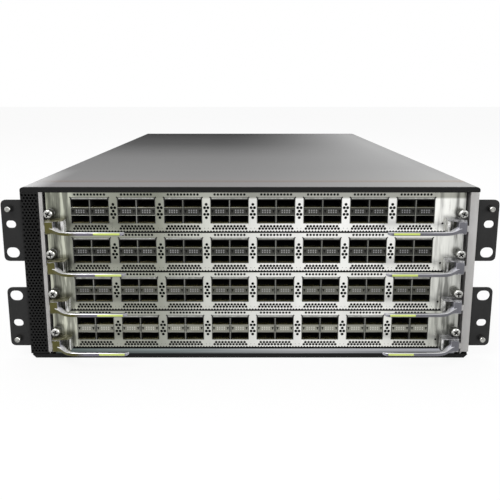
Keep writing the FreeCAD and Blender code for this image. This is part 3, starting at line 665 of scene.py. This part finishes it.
def top_coat_painted_reflection():
    """Powder coat of the top, black round its front lip; its top face is grey with a painted
    reflection that is darker towards the back left, a painted warm line near the front and a
    painted highlight at the front left corner.
    """
    look = new_look("cover_coat")
    depth = look.along("Object", "Y", FRONT_Y * MM, -FRONT_Y * MM)
    # painted reflection: grey that darkens towards the back and to the left
    left = look.ramp(depth, (0.0, "807e7f"), (0.12, "787878"), (0.36, "707070"),
                     (0.65, "4a4a4a"), (1.0, "2a2a2a"))
    right = look.ramp(depth, (0.0, "a6a6a5"), (0.2, "9c9c9c"), (0.6, "9e9e9e"), (1.0, "989898"))
    across = look.along("Object", "X", -0.06, 0.2)
    across = look.combine("MULTIPLY", across, across)
    pebble = look.noise(1500.0, detail=2.0)
    grey = look.clouded(look.blend(across, left, right), pebble, (0.3, 0.96), (0.7, 1.04))
    # painted reflection: a thin warm line across the top near the front
    grey = look.clouded(grey, depth, (0.046, 1.0), (0.050, (1.0, 0.9, 0.82)),
                        (0.060, (1.0, 0.92, 0.86)), (0.07, 1.0))
    # painted highlight at the front left corner
    corner = look.combine("MULTIPLY", look.along("Object", "X", -0.195, -0.221),
                          look.along("Object", "Y", -0.2, -0.31))
    grey = look.blend(corner, grey, "c4c4c4")
    behind = look.along("Object", "Y", (FRONT_Y + 2.6) * MM, (FRONT_Y + 4.6) * MM)
    top = look.combine("MULTIPLY", look.along("Normal", "Z", 0.5, 0.9), behind)
    look.give("Base Color", look.blend(top, colour(0.019), grey))
    look.give("Roughness", look.level(pebble, 0.5, 0.62))
    look.bump(pebble, 0.00002)
    look.give("Specular IOR Level", 0.005)


def sill_metal_painted_reflection():
    """Cool bright sill with a painted reflection that is duller to the left, and painted shade
    towards its bottom.
    """
    look = new_look("sill_plate", 1.0)
    across = look.along("Object", "X", -0.19, 0.19)
    base = look.ramp(across, (0.0, "5c6664"), (0.3, "8f9898"), (0.6, "b2b4b6"), (1.0, "a4a6ac"))
    # painted shade: darker towards the bottom of the sill
    height = look.along("Object", "Z", 0.0045, 0.0095)
    base = look.clouded(base, height, (0.0, 0.45), (0.55, 0.8), (1.0, 1.1))
    brushed = look.noise(90.0, (0.08, 1.0, 8.0))
    look.give("Base Color", look.clouded(base, brushed, (0.35, 0.7), (0.65, 1.15)))
    look.grained(0.3, 400.0, (0.2, 1.0, 4.0))


def strip_metal():
    """Pale plated sheet of the cage's side strips, with faint upright streaks in its tone."""
    look = new_look("cage_plate", 0.1)
    look.give("Specular IOR Level", 0.2)
    tone = look.noise(70.0, (1.0, 1.0, 0.25))
    look.give("Base Color", look.ramp(tone, (0.3, "a5a3a1"), (0.7, "b8b7b6")))
    look.grained(0.5)


# low and high tone, roughness, scale of the grain, its relief in metres, specular level
COATS = {
    "black_coat": (0.011, 0.015, 0.5, 1600.0, 0.00003, 0.09),
    "ear_coat": (0.017, 0.022, 0.5, 1600.0, 0.00003, 0.16),
    "board_mask": ((0.012, 0.09, 0.045), (0.02, 0.13, 0.07), 0.35, 700.0, 0.00003, 0.5),
    "black_plastic": (0.010, 0.016, 0.45),
    "grip": ("bccb5e", "d2df84", 0.4),
    # lit and shaded copies of the indicator strips and windows
    "pipe_dark": ("2c2c29", "42423e", 0.5, 1600.0, 0.00003, 0.12),
    "pipe_middle": ("45453e", "62625a", 0.5, 1600.0, 0.00003, 0.12),
    "pipe_pale": ("7a7a70", "929286", 0.4),
    "window_dark": ("77777a", "8e8e8c", 0.3),
    "window_pale": ("b4b4aa", "c6c6bc", 0.3),
    # black for painted shade in holes, gaps and recesses, and for the printed arrows
    "dark_void": (0.004, 0.006, 0.7, 1600.0, 0.00003, 0.05),
}
# low and high tone, roughness, stretch and scale of the clouds, share of metal
PLATES = {
    # painted shade: the port cages are near black so the ports read dark inside
    "port_plate": (warm(0.010), warm(0.020), 0.5, EVEN, 30.0, 0.3),
    "panel_back": (warm(0.5), warm(0.6), 0.34, (1.0, 1.0, 0.3)),
    # painted shade: the knurled drum is darker than the head's metal
    "knurl": ("3e3e3a", "8c8c88", 0.3, EVEN, 500.0),
    # painted shade: the panel folds are near black
    "fold_plate": (warm(0.03), warm(0.05), 0.5),
    "tray_plate": (0.42, 0.5, 0.35, (1.0, 0.2, 1.0)),
    "supply_plate": (0.42, 0.52, 0.38, (1.0, 0.2, 1.0)),
    "rim_plate": ("7e7f77", "acada5", 0.3),
    "gasket": ("8a8b86", "b2b3ae", 0.4, EVEN, 300.0),
    "spring_gold": ("605c3a", "98926a", 0.4, EVEN, 260.0),
}
# painted reflection bands, with different tones for the left and right forks and posts: ramp over
# the bands, their size and stretch
REFLECTION_STREAKS = {
    "fork_left": (((0.4, "4c4a34"), (0.5, "66644c"), (0.6, "848270")), 200.0, EVEN),
    "fork_right": (((0.4, "6c6c6e"), (0.5, "8e8e90"), (0.6, "b8b8ba")), 200.0, EVEN),
    "post_left": (((0.38, "3c3c36"), (0.48, "8e8f88"), (0.56, "f2f2f0")), 330.0, UPRIGHT),
    "post_right": (((0.4, "4a4a48"), (0.5, "a4a4a0"), (0.6, "eeeeec")), 330.0, UPRIGHT),
    "cheek_plate": (((0.4, "74756c"), (0.5, "9c9d94"), (0.6, "d4d4ce")), 330.0, UPRIGHT),
}
for maker in (top_coat_painted_reflection, strip_metal, sill_metal_painted_reflection, screw_metal_painted_shade):
    maker()
# painted reflection: the same lever is olive on the left and grey on the right
lever_metal_painted_light("lever_left", "56532f", "726f78", -1, (-0.204, -0.160), "84828a", 0.7)
lever_metal_painted_light("lever_right", "6b6b71", "6a6a70", 1, (0.204, 0.160), "a6a6aa", 0.42)
for maker, entries in ((coat, COATS), (plate, PLATES), (streaked_reflection, REFLECTION_STREAKS)):
    for name, values in entries.items():
        maker(name, *values)
for number in CARDS:
    panel_metal_painted_reflection(number)

# part of a CAD node's name and its finish, where the first that fits counts
NODE_FINISHES = (
    ("_tray", "tray_plate"), ("_board", "board_mask"), ("_cages", "port_plate"),
    ("_panel", "panel_back"), ("_lever_left", "lever_left"), ("_lever_right", "lever_right"),
    ("_screw_", "nickel"), ("ear_studs", "nickel"), ("top_", "cover_coat"),
    ("cage_wall", "cage_plate"), ("nut_tabs", "cage_plate"), ("guide_rails", "tray_plate"),
    ("front_sill", "sill_plate"), ("midplane_connectors", "black_plastic"),
    ("midplane", "board_mask"), ("rear_frame", "supply_plate"), ("power_supply", "supply_plate"),
    ("fan_rotor", "black_plastic"), ("ear_", "ear_coat"), ("", "black_coat"),
)


def dress_nodes():
    """Gives every CAD node its finish."""
    for node, obj in frame["nodes"].items():
        for entry in obj.material_slots:
            entry.link = "DATA"
        finish = next(finish for word, finish in NODE_FINISHES if word in node)
        obj.data.materials.clear()
        obj.data.materials.append(MATERIALS[finish])


# ---- card panel
class Card:
    """The places on one line card, in mm."""

    def __init__(self, number):
        self.number = number
        self.name = "card_%d" % number
        low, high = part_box(self.name + "_panel")
        self.middle = (low.x + high.x) / 2.0 / MM
        self.half = (high.x - low.x) / 2.0 / MM
        self.slot = low.z / MM - PANEL_GAP / 2.0
        self.low = self.slot + PANEL_GAP / 2.0
        self.high = high.z / MM
        self.pivot = self.half - LEVER_INSET
        self.hub_low = self.slot + CLEVIS_BOTTOM + CLEVIS_PLATE + HUB_GAP
        low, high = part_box(self.name + "_cages")
        self.cage_low = low.z / MM
        self.cage_high = high.z / MM
        first = low.x / MM + GROUP_WIDTH / 2.0
        pitch = ((high.x - low.x) / MM - GROUP_WIDTH) / (GROUP_COUNT - 1)
        self.groups = [first + i * pitch for i in range(GROUP_COUNT)]
        shift = (PORT_WIDTH + DIVIDER) / 2.0
        self.ports = [x + side * shift for x in self.groups for side in (-1, 1)]

    def add(self, part, mesh, slot, finish, smooth=None):
        """A piece that rides on the card."""
        return piece(self.name + part, mesh, self.name, finish, smooth)


def cutout(x, low, high, gap):
    """A port group's opening with relieved upper corners, clockwise."""
    left, right = around(x, GROUP_WIDTH / 2.0 + gap)
    r = CUTOUT_RELIEF
    return [(left, high - r), (left - r, high), (left, high + r), (left + r, high),
            (right - r, high), (right, high + r), (right + r, high), (right, high - r),
            (right, low), (left, low)]


def teeth(card, low):
    """The spring fingers along a panel's lower edge, from left to right."""
    count = int(2.0 * (card.half - TEETH_MARGIN) / TOOTH_PITCH)
    start = card.middle - count * TOOTH_PITCH / 2.0
    points = []
    for i in range(count):
        x = start + i * TOOTH_PITCH
        points += [(x, low), (x + TOOTH_PITCH * 0.5, low + TOOTH_HEIGHT)]
    return points + [(start + count * TOOTH_PITCH, low)]


def panel_outline(card, low, fingers):
    """The panel's edge, with a lever's window at each end and any fingers along the bottom."""
    left, right = around(card.middle, card.half)
    left_window, right_window = around(card.middle, card.pivot - WINDOW_INBOARD)
    bottom = card.slot + CLEVIS_BOTTOM + CLEVIS_PLATE
    top = bottom + CLEVIS_INNER
    return [(left, low)] + fingers + [
        (right, low), (right, bottom), (right_window, bottom), (right_window, top), (right, top),
        (right, card.high), (left, card.high), (left, top), (left_window, top),
        (left_window, bottom), (left, bottom)]


def panel_vents(card):
    """The vents above, below and between the port groups, and the small fixings round them."""
    holes = []
    for x in card.groups:
        for height, count, radius in VENT_ROWS:
            first = x - (count - 1) * VENT_PITCH / 2.0
            for i in range(count):
                holes.append(circle(first + i * VENT_PITCH, card.slot + height, radius))
    for x0, x1 in zip(card.groups, card.groups[1:]):
        for height, spots in CLUSTER_ROWS:
            for dx in spots:
                holes.append(circle((x0 + x1) / 2.0 + dx, card.slot + height, CLUSTER_RADIUS))
    for x in card.groups:
        for side in (-1, 1):
            for across, height, radius in PIN_HOLES:
                holes.append(circle(x + side * across, card.slot + height, radius, 8))
    across, height, radius = INDICATOR
    holes.append(circle(card.middle + across, card.slot + height, radius))
    return holes


def card_panel(card):
    """The front panel: a pierced skin over a plate whose front and edges are painted black as shade
    behind the holes.
    """
    wide = (card.cage_low - CUTOUT_LOWER_GAP, card.cage_high + CUTOUT_UPPER_GAP, CUTOUT_GAP)
    close = (card.cage_low - SKIN_GAP, card.cage_high + SKIN_GAP, SKIN_GAP)
    ends = around(card.middle, card.half - SCREW_INSET)
    screws = [circle(x, card.slot + SCREW_HEIGHT, SCREW_HOLE) for x in ends]
    raised = card.low + SKIN_RAISED
    edge = panel_outline(card, raised, teeth(card, raised))
    holes = [cutout(x, *close) for x in card.groups] + screws + panel_vents(card)
    skin = stand_up(sheet_mesh(edge, holes, PANEL_SKIN), FRONT_Y + PANEL_SKIN / 2.0)
    panel = card.add("_face", skin, "panel_steel", "panel_%d" % card.number)
    holes = [cutout(x, *wide) for x in card.groups] + screws
    front = PANEL_SKIN + BACKING_GAP
    shade_backing = sheet_mesh(panel_outline(card, card.low, []), holes, PANEL_SHEET - front)
    stand_up(shade_backing, FRONT_Y + (PANEL_SHEET + front) / 2.0)
    card.add("_backing", shade_backing, "panel_steel", "panel_back")
    # painted shade: the plate's front and edges are black, only its rear keeps the panel's metal
    shade_backing.materials.append(MATERIALS["dark_void"])
    for polygon in shade_backing.polygons:
        polygon.material_index = 0 if polygon.normal.y > 0.5 else 1
    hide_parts(card.name + "_panel")


def panel_folds(card):
    """Turned-back edges along the panel's top and bottom, dark as painted shade."""
    x = around(card.middle, card.half - FOLD_MARGIN)
    spans = ((card.low, card.low + FOLD_SHEET), (card.high - FOLD_SHEET, card.high))
    folds = merged([box_mesh(x, shifted(FRONT_Y, FOLD_DEPTHS), z) for z in spans])
    card.add("_folds", folds, "panel_steel", "fold_plate")


def edge_shade_strip(card):
    """Black strip behind the panel's spring teeth: painted shade for the gap between cards."""
    x = around(card.middle, card.half - SEAL_MARGIN)
    mesh = box_mesh(x, shifted(FRONT_Y, SEAL_DEPTHS), shifted(card.slot, SEAL_HEIGHTS))
    card.add("_seal_shade", mesh, "connector_plastic", "dark_void")


def card_forks(card):
    """The fixed forks that hold the two levers, each with its rivet, post and cheek."""
    low = card.slot + CLEVIS_BOTTOM
    high = low + 2.0 * CLEVIS_PLATE + CLEVIS_INNER
    inner = card.pivot - CLEVIS_INBOARD
    outer = card.pivot + CLEVIS_OUTBOARD
    outline = ((inner, 0.0), (inner, FORK_INNER_REACH), (inner + FORK_CHAMFER, FORK_REACH),
               (outer, FORK_REACH), (outer, 0.0))
    rivet_high = high - low - 2.0 * RIVET_GAP
    rivet = ((0.0, 0.0), (RIVET_RADIUS, 0.0), (RIVET_RADIUS, rivet_high), (0.0, rivet_high))
    for hand, side in SIDES:
        plan = [(card.middle + side * a, FRONT_Y - reach) for a, reach in outline]
        plan = rounded(plan, FORK_CORNER)
        meshes = []
        for z in (low + CLEVIS_PLATE / 2.0, high - CLEVIS_PLATE / 2.0):
            meshes.append(lay_flat(sheet_mesh(plan, [], CLEVIS_PLATE, FORK_EDGE), z))
        foot = (card.middle + side * card.pivot, FRONT_Y - PIVOT_REACH, low + RIVET_GAP)
        meshes.append(turned_mesh(rivet, foot, UPWARDS, 20))
        card.add("_fork_" + hand, merged(meshes), "panel_steel", "fork_" + hand, 35)
        x = sided(card.middle, side, inner, inner + POST_THICKNESS)
        z = (low + POST_GAP, high - POST_GAP)
        post = box_mesh(x, shifted(FRONT_Y, POST_DEPTHS), z, POST_EDGE)
        card.add("_post_" + hand, post, "panel_steel", "post_" + hand, 35)
        # the cheek is a bright sheet with painted reflection bands between the post and the lever
        x = sided(card.middle, side, inner + POST_THICKNESS, card.pivot - CHEEK_GAP)
        z = (low + CLEVIS_PLATE, high - CLEVIS_PLATE)
        cheek = box_mesh(x, shifted(FRONT_Y, CHEEK_DEPTHS), z, CHEEK_EDGE)
        card.add("_cheek_" + hand, cheek, "panel_steel", "cheek_plate", 35)


# ---- ports
def cage_rims(card):
    """Thin bright lips round the port mouths, just proud of the cage sheets."""
    floor_z = card.cage_low + CAGE_FLOOR
    top = card.cage_high - GASKET_HEIGHT
    half = GROUP_WIDTH / 2.0
    y = shifted(FRONT_Y, RIM_DEPTHS)
    middle_y = shifted(FRONT_Y, MULLION_DEPTHS)
    meshes = []
    for x in card.groups:
        for z in (floor_z + PORT_HEIGHT, floor_z + 2.0 * PORT_HEIGHT):
            across = around(x, half - RIM_INSET)
            meshes.append(box_mesh(across, y, around(z, RIM_HALF), RIM_EDGE, 1))
        upright = (card.cage_low + RIM_INSET, top)
        meshes.append(box_mesh(around(x, MULLION_HALF), middle_y, upright, RIM_EDGE, 1))
        for side in (-1, 1):
            edge = sided(x, side, half, half - RIM_SIDE)
            meshes.append(box_mesh(edge, y, (card.cage_low, top), RIM_EDGE, 1))
    card.add("_rims", merged(meshes), "port_steel", "rim_plate")


def light_pipes(card):
    """The strips between the port rows: small indicator windows and dark arrows."""
    low = card.cage_low + CAGE_FLOOR + PORT_HEIGHT
    plates = []
    windows = []
    arrows = []
    for x in card.ports:
        y = shifted(FRONT_Y, PIPE_DEPTHS)
        z = shifted(low, PIPE_HEIGHTS)
        plates.append(box_mesh(around(x, PIPE_HALF), y, z, PIPE_EDGE, 1))
        y = shifted(FRONT_Y, WINDOW_DEPTHS)
        for i in range(WINDOW_COUNT):
            middle = x + (i - (WINDOW_COUNT - 1) / 2.0) * WINDOW_PITCH
            across = around(middle, WINDOW_HALVES[0])
            for height in WINDOW_ROWS:
                z = around(low + height, WINDOW_HALVES[1])
                windows.append(box_mesh(across, y, z, WINDOW_EDGE, 1))
        z0, z1 = shifted(low, ARROW_HEIGHTS)
        for tip in around(x, ARROW_PLACE):
            points = [(tip, z0), (tip - ARROW_HALF, z1), (tip + ARROW_HALF, z1)]
            arrows.append(stand_up(sheet_mesh(points, [], ARROW_SHEET), FRONT_Y - ARROW_SHEET))
    # painted light: each card gets a lit or shaded copy of the strip and window finish
    card.add("_windows", merged(windows), "port_steel", WINDOW_LIGHTING_FINISHES[card.number - 1])
    card.add("_pipes", merged(plates), "port_steel", PIPE_LIGHTING_FINISHES[card.number - 1])
    card.add("_arrows", merged(arrows), "connector_plastic", "dark_void")


def gasket_bars(card):
    """Springy bar above each group, with a row of pressed fingers."""
    z = shifted(card.cage_high, GASKET_HEIGHTS)
    finger_y = shifted(FRONT_Y, FINGER_DEPTHS)
    finger_z = shifted(card.cage_high, FINGER_HEIGHTS)
    meshes = []
    for x in card.groups:
        across = around(x, GROUP_WIDTH / 2.0 - GASKET_MARGIN)
        meshes.append(box_mesh(across, shifted(FRONT_Y, GASKET_DEPTHS), z, GASKET_EDGE))
        for i in range(FINGER_COUNT):
            across = around(x + (i - FINGER_COUNT // 2) * FINGER_PITCH, FINGER_HALF)
            meshes.append(box_mesh(across, finger_y, finger_z, FINGER_EDGE, 1))
    card.add("_gaskets", merged(meshes), "port_steel", "gasket", 40)


def port_insides(card):
    """Contact blocks and latch springs seen inside the ports."""
    blocks = []
    springs = []
    for x in card.ports:
        for row in (0, 1):
            floor_z = card.cage_low + CAGE_FLOOR + row * 2.0 * PORT_HEIGHT
            y = shifted(FRONT_Y, SOCKET_DEPTHS)
            z = shifted(floor_z, SOCKET_HEIGHTS)
            blocks.append(box_mesh(around(x, SOCKET_HALF), y, z, SOCKET_EDGE, 1))
            z = shifted(floor_z, SPRING_HEIGHTS)
            for i in range(SPRING_COUNT):
                across = around(x + (i - SPRING_COUNT // 2) * SPRING_PITCH, SPRING_HALF)
                length = SPRING_LENGTH + SPRING_STEP * ((i * 5 + row * 3) % 4)
                y = shifted(FRONT_Y, (SPRING_START, length))
                springs.append(box_mesh(across, y, z, SPRING_EDGE, 1))
    card.add("_sockets", merged(blocks), "connector_plastic", "black_plastic")
    card.add("_springs", merged(springs), "port_steel", "spring_gold")


# ---- ejector levers
def lever_arm_mesh(pivot_x, side, bottom):
    """The arm as one smooth bar: tall at its root, thin and level from the bend to the hook."""
    bm = bmesh.new()
    rings = []
    c = ARM_EDGE
    for i, (a, p, low, high, t, fall) in enumerate(ARM_STATIONS):
        before = ARM_STATIONS[max(i - 1, 0)]
        after = ARM_STATIONS[min(i + 1, len(ARM_STATIONS) - 1)]
        along = Vector((after[0] - before[0], after[1] - before[1])).normalized()
        ring = []
        corners = ((t, low + c), (t, high - fall - c), (t - c, high - fall), (c - t, high),
                   (-t, high - c), (-t, low + c), (c - t, low), (t - c, low))
        for da, dz in corners:
            x = pivot_x - side * (a - along.y * da)
            y = FRONT_Y - (p + along.x * da)
            ring.append(bm.verts.new((x * MM, y * MM, (bottom + dz) * MM)))
        rings.append(ring)
    join_rings(bm, rings)
    bm.faces.new(rings[0])
    bm.faces.new(list(reversed(rings[-1])))
    return faced_out(bm)


def lever(card, hand, side):
    """A cast lever: tall hub, small toe, thin arm that sweeps inwards, pale green grip."""
    pivot_x = card.middle + side * card.pivot
    bottom = card.hub_low
    height = CLEVIS_INNER - 2.0 * HUB_GAP
    turns = [math.radians(a) for a in range(-90, 91, 15)]
    back = [(HUB_RADIUS * math.sin(a), PIVOT_REACH - HUB_RADIUS * math.cos(a)) for a in turns]
    plan = [(pivot_x + side * a, FRONT_Y - reach) for a, reach in back + list(HUB_FRONT)]
    hub = lay_flat(sheet_mesh(plan, [], height, HUB_EDGE), bottom + height / 2.0)
    arm = lever_arm_mesh(pivot_x, side, bottom)
    x = sided(pivot_x, side, *TOE_OUTBOARD)
    toe = box_mesh(x, shifted(FRONT_Y, TOE_DEPTHS), shifted(bottom, TOE_HEIGHTS), TOE_EDGE)
    body = "%s_lever_%s" % (card.name, hand)
    piece(body + "_toe", toe, body, "cage_plate", 40)
    obj = piece(body + "_arm", merged([arm, hub]), body, "lever_" + hand, 40)
    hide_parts(body)
    x = sided(card.middle, side, *GRIP_SPANS[hand])
    grip = box_mesh(x, shifted(FRONT_Y, GRIP_DEPTHS), shifted(bottom, GRIP_HEIGHTS), GRIP_EDGE)
    piece(body + "_grip", grip, body, "grip", 40)


# ---- thumbscrews
def knurled_head(x, z):
    """A knurled drum, open at its front end."""
    bm = bmesh.new()
    rings = []
    for reach, share, ridge in KNURL_RINGS:
        ring = []
        for i in range(KNURL_COUNT):
            a = 2.0 * math.pi * i / KNURL_COUNT
            r = SCREW_RADIUS * share - (ridge if i % 2 else 0.0)
            point = Vector((x + r * math.cos(a), FRONT_Y - reach, z + r * math.sin(a)))
            ring.append(bm.verts.new(point * MM))
        rings.append(ring)
    join_rings(bm, rings)
    bm.faces.new(list(reversed(rings[0])))
    return faced_out(bm)


def cross_face(x, z, front, turn):
    """The end face of a screw head with a cross cut in it, turned by an angle."""
    w = CROSS_HALF
    r = CROSS_REACH
    cross = [(-r, -w), (-r, w), (-w, w), (-w, r), (w, r), (w, w),
             (r, w), (r, -w), (w, -w), (w, -r), (-w, -r), (-w, -w)]
    c = math.cos(turn)
    d = math.sin(turn)
    points = [(x + px * c - pz * d, z + px * d + pz * c) for px, pz in cross]
    rim = circle(x, z, SCREW_RADIUS * KNURL_RINGS[-1][1], 40)[::-1]
    face = sheet_mesh(rim, [points], HEAD_FACE, HEAD_FACE_EDGE)
    return stand_up(face, front + HEAD_FACE / 2.0)


def thumbscrew(card, hand, side):
    """A bright knurled thumbscrew, in place of the plain one."""
    x = card.middle + side * (card.half - SCREW_INSET)
    z = card.slot + SCREW_HEIGHT
    front = FRONT_Y - SCREW_REACH
    collar = turned_mesh(COLLAR, (x, FRONT_Y - COLLAR_REACH, z), FORWARDS, 40)
    rim = turned_mesh(HEAD_BEVEL, (x, front + BEVEL_DEPTH, z), FORWARDS, 40)
    turn = math.radians(CROSS_TURN + CROSS_STEP * card.number * side)
    end = cross_face(x, z, front, turn)
    shank = turned_mesh(SHANK, (x, FRONT_Y - SCREW_GAP, z), FORWARDS, 24)
    recess = turned_mesh(RECESS, (x, front + RECESS_DEPTH, z), FORWARDS)
    body = "%s_screw_%s" % (card.name, hand)
    head = piece(body + "_head", merged([rim, end, shank]), body, "nickel", 28)
    drum = merged([knurled_head(x, z), collar])
    piece(body + "_barrel", drum, body, "knurl", 28)
    # painted shade: a black disc behind the cross cut darkens the recess
    piece(body + "_recess", recess, body, "dark_void")
    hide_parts(body)


# ---- chassis
def vent_column():
    """Perforated inlet sheet with round holes in staggered rows."""
    low, high = (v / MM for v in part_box("vent_column"))
    row_pitch = INLET_PITCH * math.sqrt(3.0) / 2.0
    rows = int((high.z - low.z - INLET_MARGIN) / row_pitch) + 1
    middle_x = (low.x + high.x) / 2.0 - INLET_SHIFT
    middle_z = (low.z + high.z) / 2.0
    holes = []
    for row in range(rows):
        count = INLET_COUNT - row % 2
        z = middle_z + (row - (rows - 1) / 2.0) * row_pitch
        for i in range(count):
            x = middle_x + (i - (count - 1) / 2.0) * INLET_PITCH
            holes.append(circle(x, z, INLET_RADIUS))
    outline = [(low.x, low.z), (low.x, high.z), (high.x, high.z), (high.x, low.z)]
    meshes = [stand_up(sheet_mesh(outline, holes, INLET_SHEET), FRONT_Y + INLET_SHEET / 2.0)]
    for x in ((high.x - INLET_INNER_FOLD, high.x), (low.x, low.x + INLET_OUTER_FOLD)):
        meshes.append(box_mesh(x, (FRONT_Y + INLET_SHEET, high.y), (low.z, high.z)))
    obj = piece("vent_column_sheet", merged(meshes), "chassis", "black_coat")
    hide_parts("vent_column")


def fan_guards():
    """Round wire guards over the fan ducts, with two spokes each."""
    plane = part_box("rear_frame")[1].y / MM
    turns = [math.radians(a) for a in range(0, 361, 45)]
    wire = [(math.cos(a) * GUARD_WIRE, math.sin(a) * GUARD_WIRE) for a in turns]
    for number in FANS:
        low, high = (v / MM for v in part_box("fan_rotor_%d" % number))
        x = (low.x + high.x) / 2.0
        z = (low.z + high.z) / 2.0
        meshes = []
        for radius in GUARD_RINGS:
            ring = [(radius + across, GUARD_WIRE + out) for across, out in wire]
            meshes.append(turned_mesh(ring, (x, plane, z), BACKWARDS, 56))
        for side in (-1, 1):
            reach = sided(z, side, GUARD_RINGS[0], GUARD_RINGS[-1])
            y = (plane + SPOKE_GAP, plane + 2.0 * GUARD_WIRE)
            meshes.append(box_mesh(around(x, GUARD_WIRE), y, reach, SPOKE_EDGE))
        body = "fan_module_%d" % number
        piece(body + "_guard", merged(meshes), body, "nickel", 60)


def level_slot(x, z, length, width):
    """A level slot with round ends, clockwise."""
    r = width / 2.0
    reach = (length - width) / 2.0
    points = []
    for centre, start in ((x + reach, 90), (x - reach, -90)):
        for a in (math.radians(start - turn) for turn in range(0, 181, 15)):
            points.append((centre + r * math.cos(a), z + r * math.sin(a)))
    return points


def ears():
    """Rack ears with rounded outer corners."""
    middle_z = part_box("top_cover")[1].z / MM / 2.0
    y = FRONT_Y + EAR_SETBACK
    for level, place in ((-1, "lower"), (1, "upper")):
        for hand, side in SIDES:
            node = "ear_%s_%s" % (place, hand)
            low, high = (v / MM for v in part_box(node))
            inner, outer = (low.x, high.x) if side > 0 else (high.x, low.x)
            corners = [(inner, high.z), (outer, high.z), (outer, low.z), (inner, low.z)]
            curved = rounded(corners, EAR_CORNER, EAR_CORNER_STEPS)
            keep = [point for point in curved if abs(point[0] - inner) > EAR_CORNER * 1.2]
            slots = []
            for offset, length, width in EAR_SLOTS:
                slot_x = outer - side * EAR_SLOT_INSET
                slots.append(level_slot(slot_x, middle_z + level * offset, length, width))
            flange = sheet_mesh(corners[:1] + keep + corners[-1:], slots, EAR_SHEET, EAR_EDGE)
            stand_up(flange, y + EAR_SHEET / 2.0)
            x = sided(inner, side, 0.0, EAR_SHEET)
            cheek = box_mesh(x, (y, high.y), (low.z, high.z), EAR_EDGE)
            bracket = merged([flange, cheek])
            obj = piece(node + "_bracket", bracket, "chassis", "ear_coat", 35)
            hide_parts(node)


def studs():
    """Ear guide screws: dark foot, bright turned stud."""
    low, high = (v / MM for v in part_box("ear_studs"))
    reach_x = (high.x - low.x) / 2.0 - STUD_INSET[0]
    reach_z = (high.z - low.z) / 2.0 - STUD_INSET[1]
    feet = []
    bars = []
    for x in around(0.0, reach_x):
        for z in around((high.z + low.z) / 2.0, reach_z):
            feet.append(turned_mesh(STUD_FOOT, (x, high.y, z), FORWARDS, 24))
            bars.append(turned_mesh(STUD_BAR, (x, high.y, z), FORWARDS, 28))
    obj = piece("ear_stud_bars", merged(bars), "chassis", "nickel", 35)
    piece("ear_stud_feet", merged(feet), "chassis", "black_coat", 35)
    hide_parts("ear_studs")


# ---- studio
def staged(name, data):
    """A new object that belongs to the studio, not to the part."""
    obj = placed(name, data)
    return obj


def floor():
    """A pale floor far wider than the view, lifted to white where it is seen."""
    r = FLOOR_REACH
    mesh = bpy.data.meshes.new("floor")
    mesh.from_pydata([(-r, -r, 0), (r, -r, 0), (r, r, 0), (-r, r, 0)], [], [(0, 1, 2, 3)])
    look = new_look("floor")
    look.give("Base Color", colour(FLOOR_TONE))
    look.give("Roughness", 0.6)
    look.give("Specular IOR Level", 0.1)
    share = look.level(look.seen_directly(), 0.0, FLOOR_GLOW)
    glow = look.add("Emission", [("Strength", 1.0)]).outputs["Emission"]
    mix = look.add("MixShader", [("Fac", share), (1, look.shader.outputs["BSDF"]), (2, glow)])
    look.feed(mix.outputs["Shader"], look.nodes["Material Output"].inputs["Surface"])
    mesh.materials.append(MATERIALS["floor"])
    staged("floor", mesh)


def lamp(name, place, target, size, power):
    """A soft rectangular lamp aimed at a point, in metres and watts."""
    light = bpy.data.lights.new(name, "AREA")
    light.shape = "RECTANGLE"
    light.size, light.size_y = size
    light.energy = power
    obj = staged(name, light)
    obj.location = place
    obj.rotation_euler = (Vector(target) - Vector(place)).to_track_quat("-Z", "Y").to_euler()


def world():
    """White to the camera and in reflections, a softer level for the light it gives."""
    bpy.context.scene.world = bpy.data.worlds.new("world")
    look = Look(bpy.context.scene.world)
    background = look.nodes["Background"].inputs
    look.feed(colour(1.0), background["Color"])
    look.feed(look.level(look.seen_directly(), WORLD_LEVEL, 1.0), background["Strength"])


def camera():
    """The photograph's viewpoint: level-sided, just above the top, close to the front."""
    data = bpy.data.cameras.new("camera")
    data.lens = CAMERA_LENS
    data.sensor_width = SENSOR_WIDTH
    data.shift_y = SHIFT_Y
    data.clip_start = 0.01
    obj = staged("camera", data)
    obj.location = (0.0, (FRONT_Y - CAMERA_DISTANCE) * MM, CAMERA_HEIGHT * MM)
    obj.rotation_euler = (math.radians(90.0 - CAMERA_PITCH), 0.0, 0.0)
    bpy.context.scene.camera = obj


def build():
    """Everything in the scene."""
    dress_nodes()
    for number in CARDS:
        card = Card(number)
        for part in (card_panel, panel_folds, card_forks, edge_shade_strip, cage_rims, light_pipes,
                     gasket_bars, port_insides):
            part(card)
        for hand, side in SIDES:
            lever(card, hand, side)
            thumbscrew(card, hand, side)
    for part in (vent_column, fan_guards, ears, studs, floor):
        part()
    for values in LAMPS:
        lamp(*values)
    world()
    camera()
    bpy.context.scene.view_settings.view_transform = "Standard"


build()
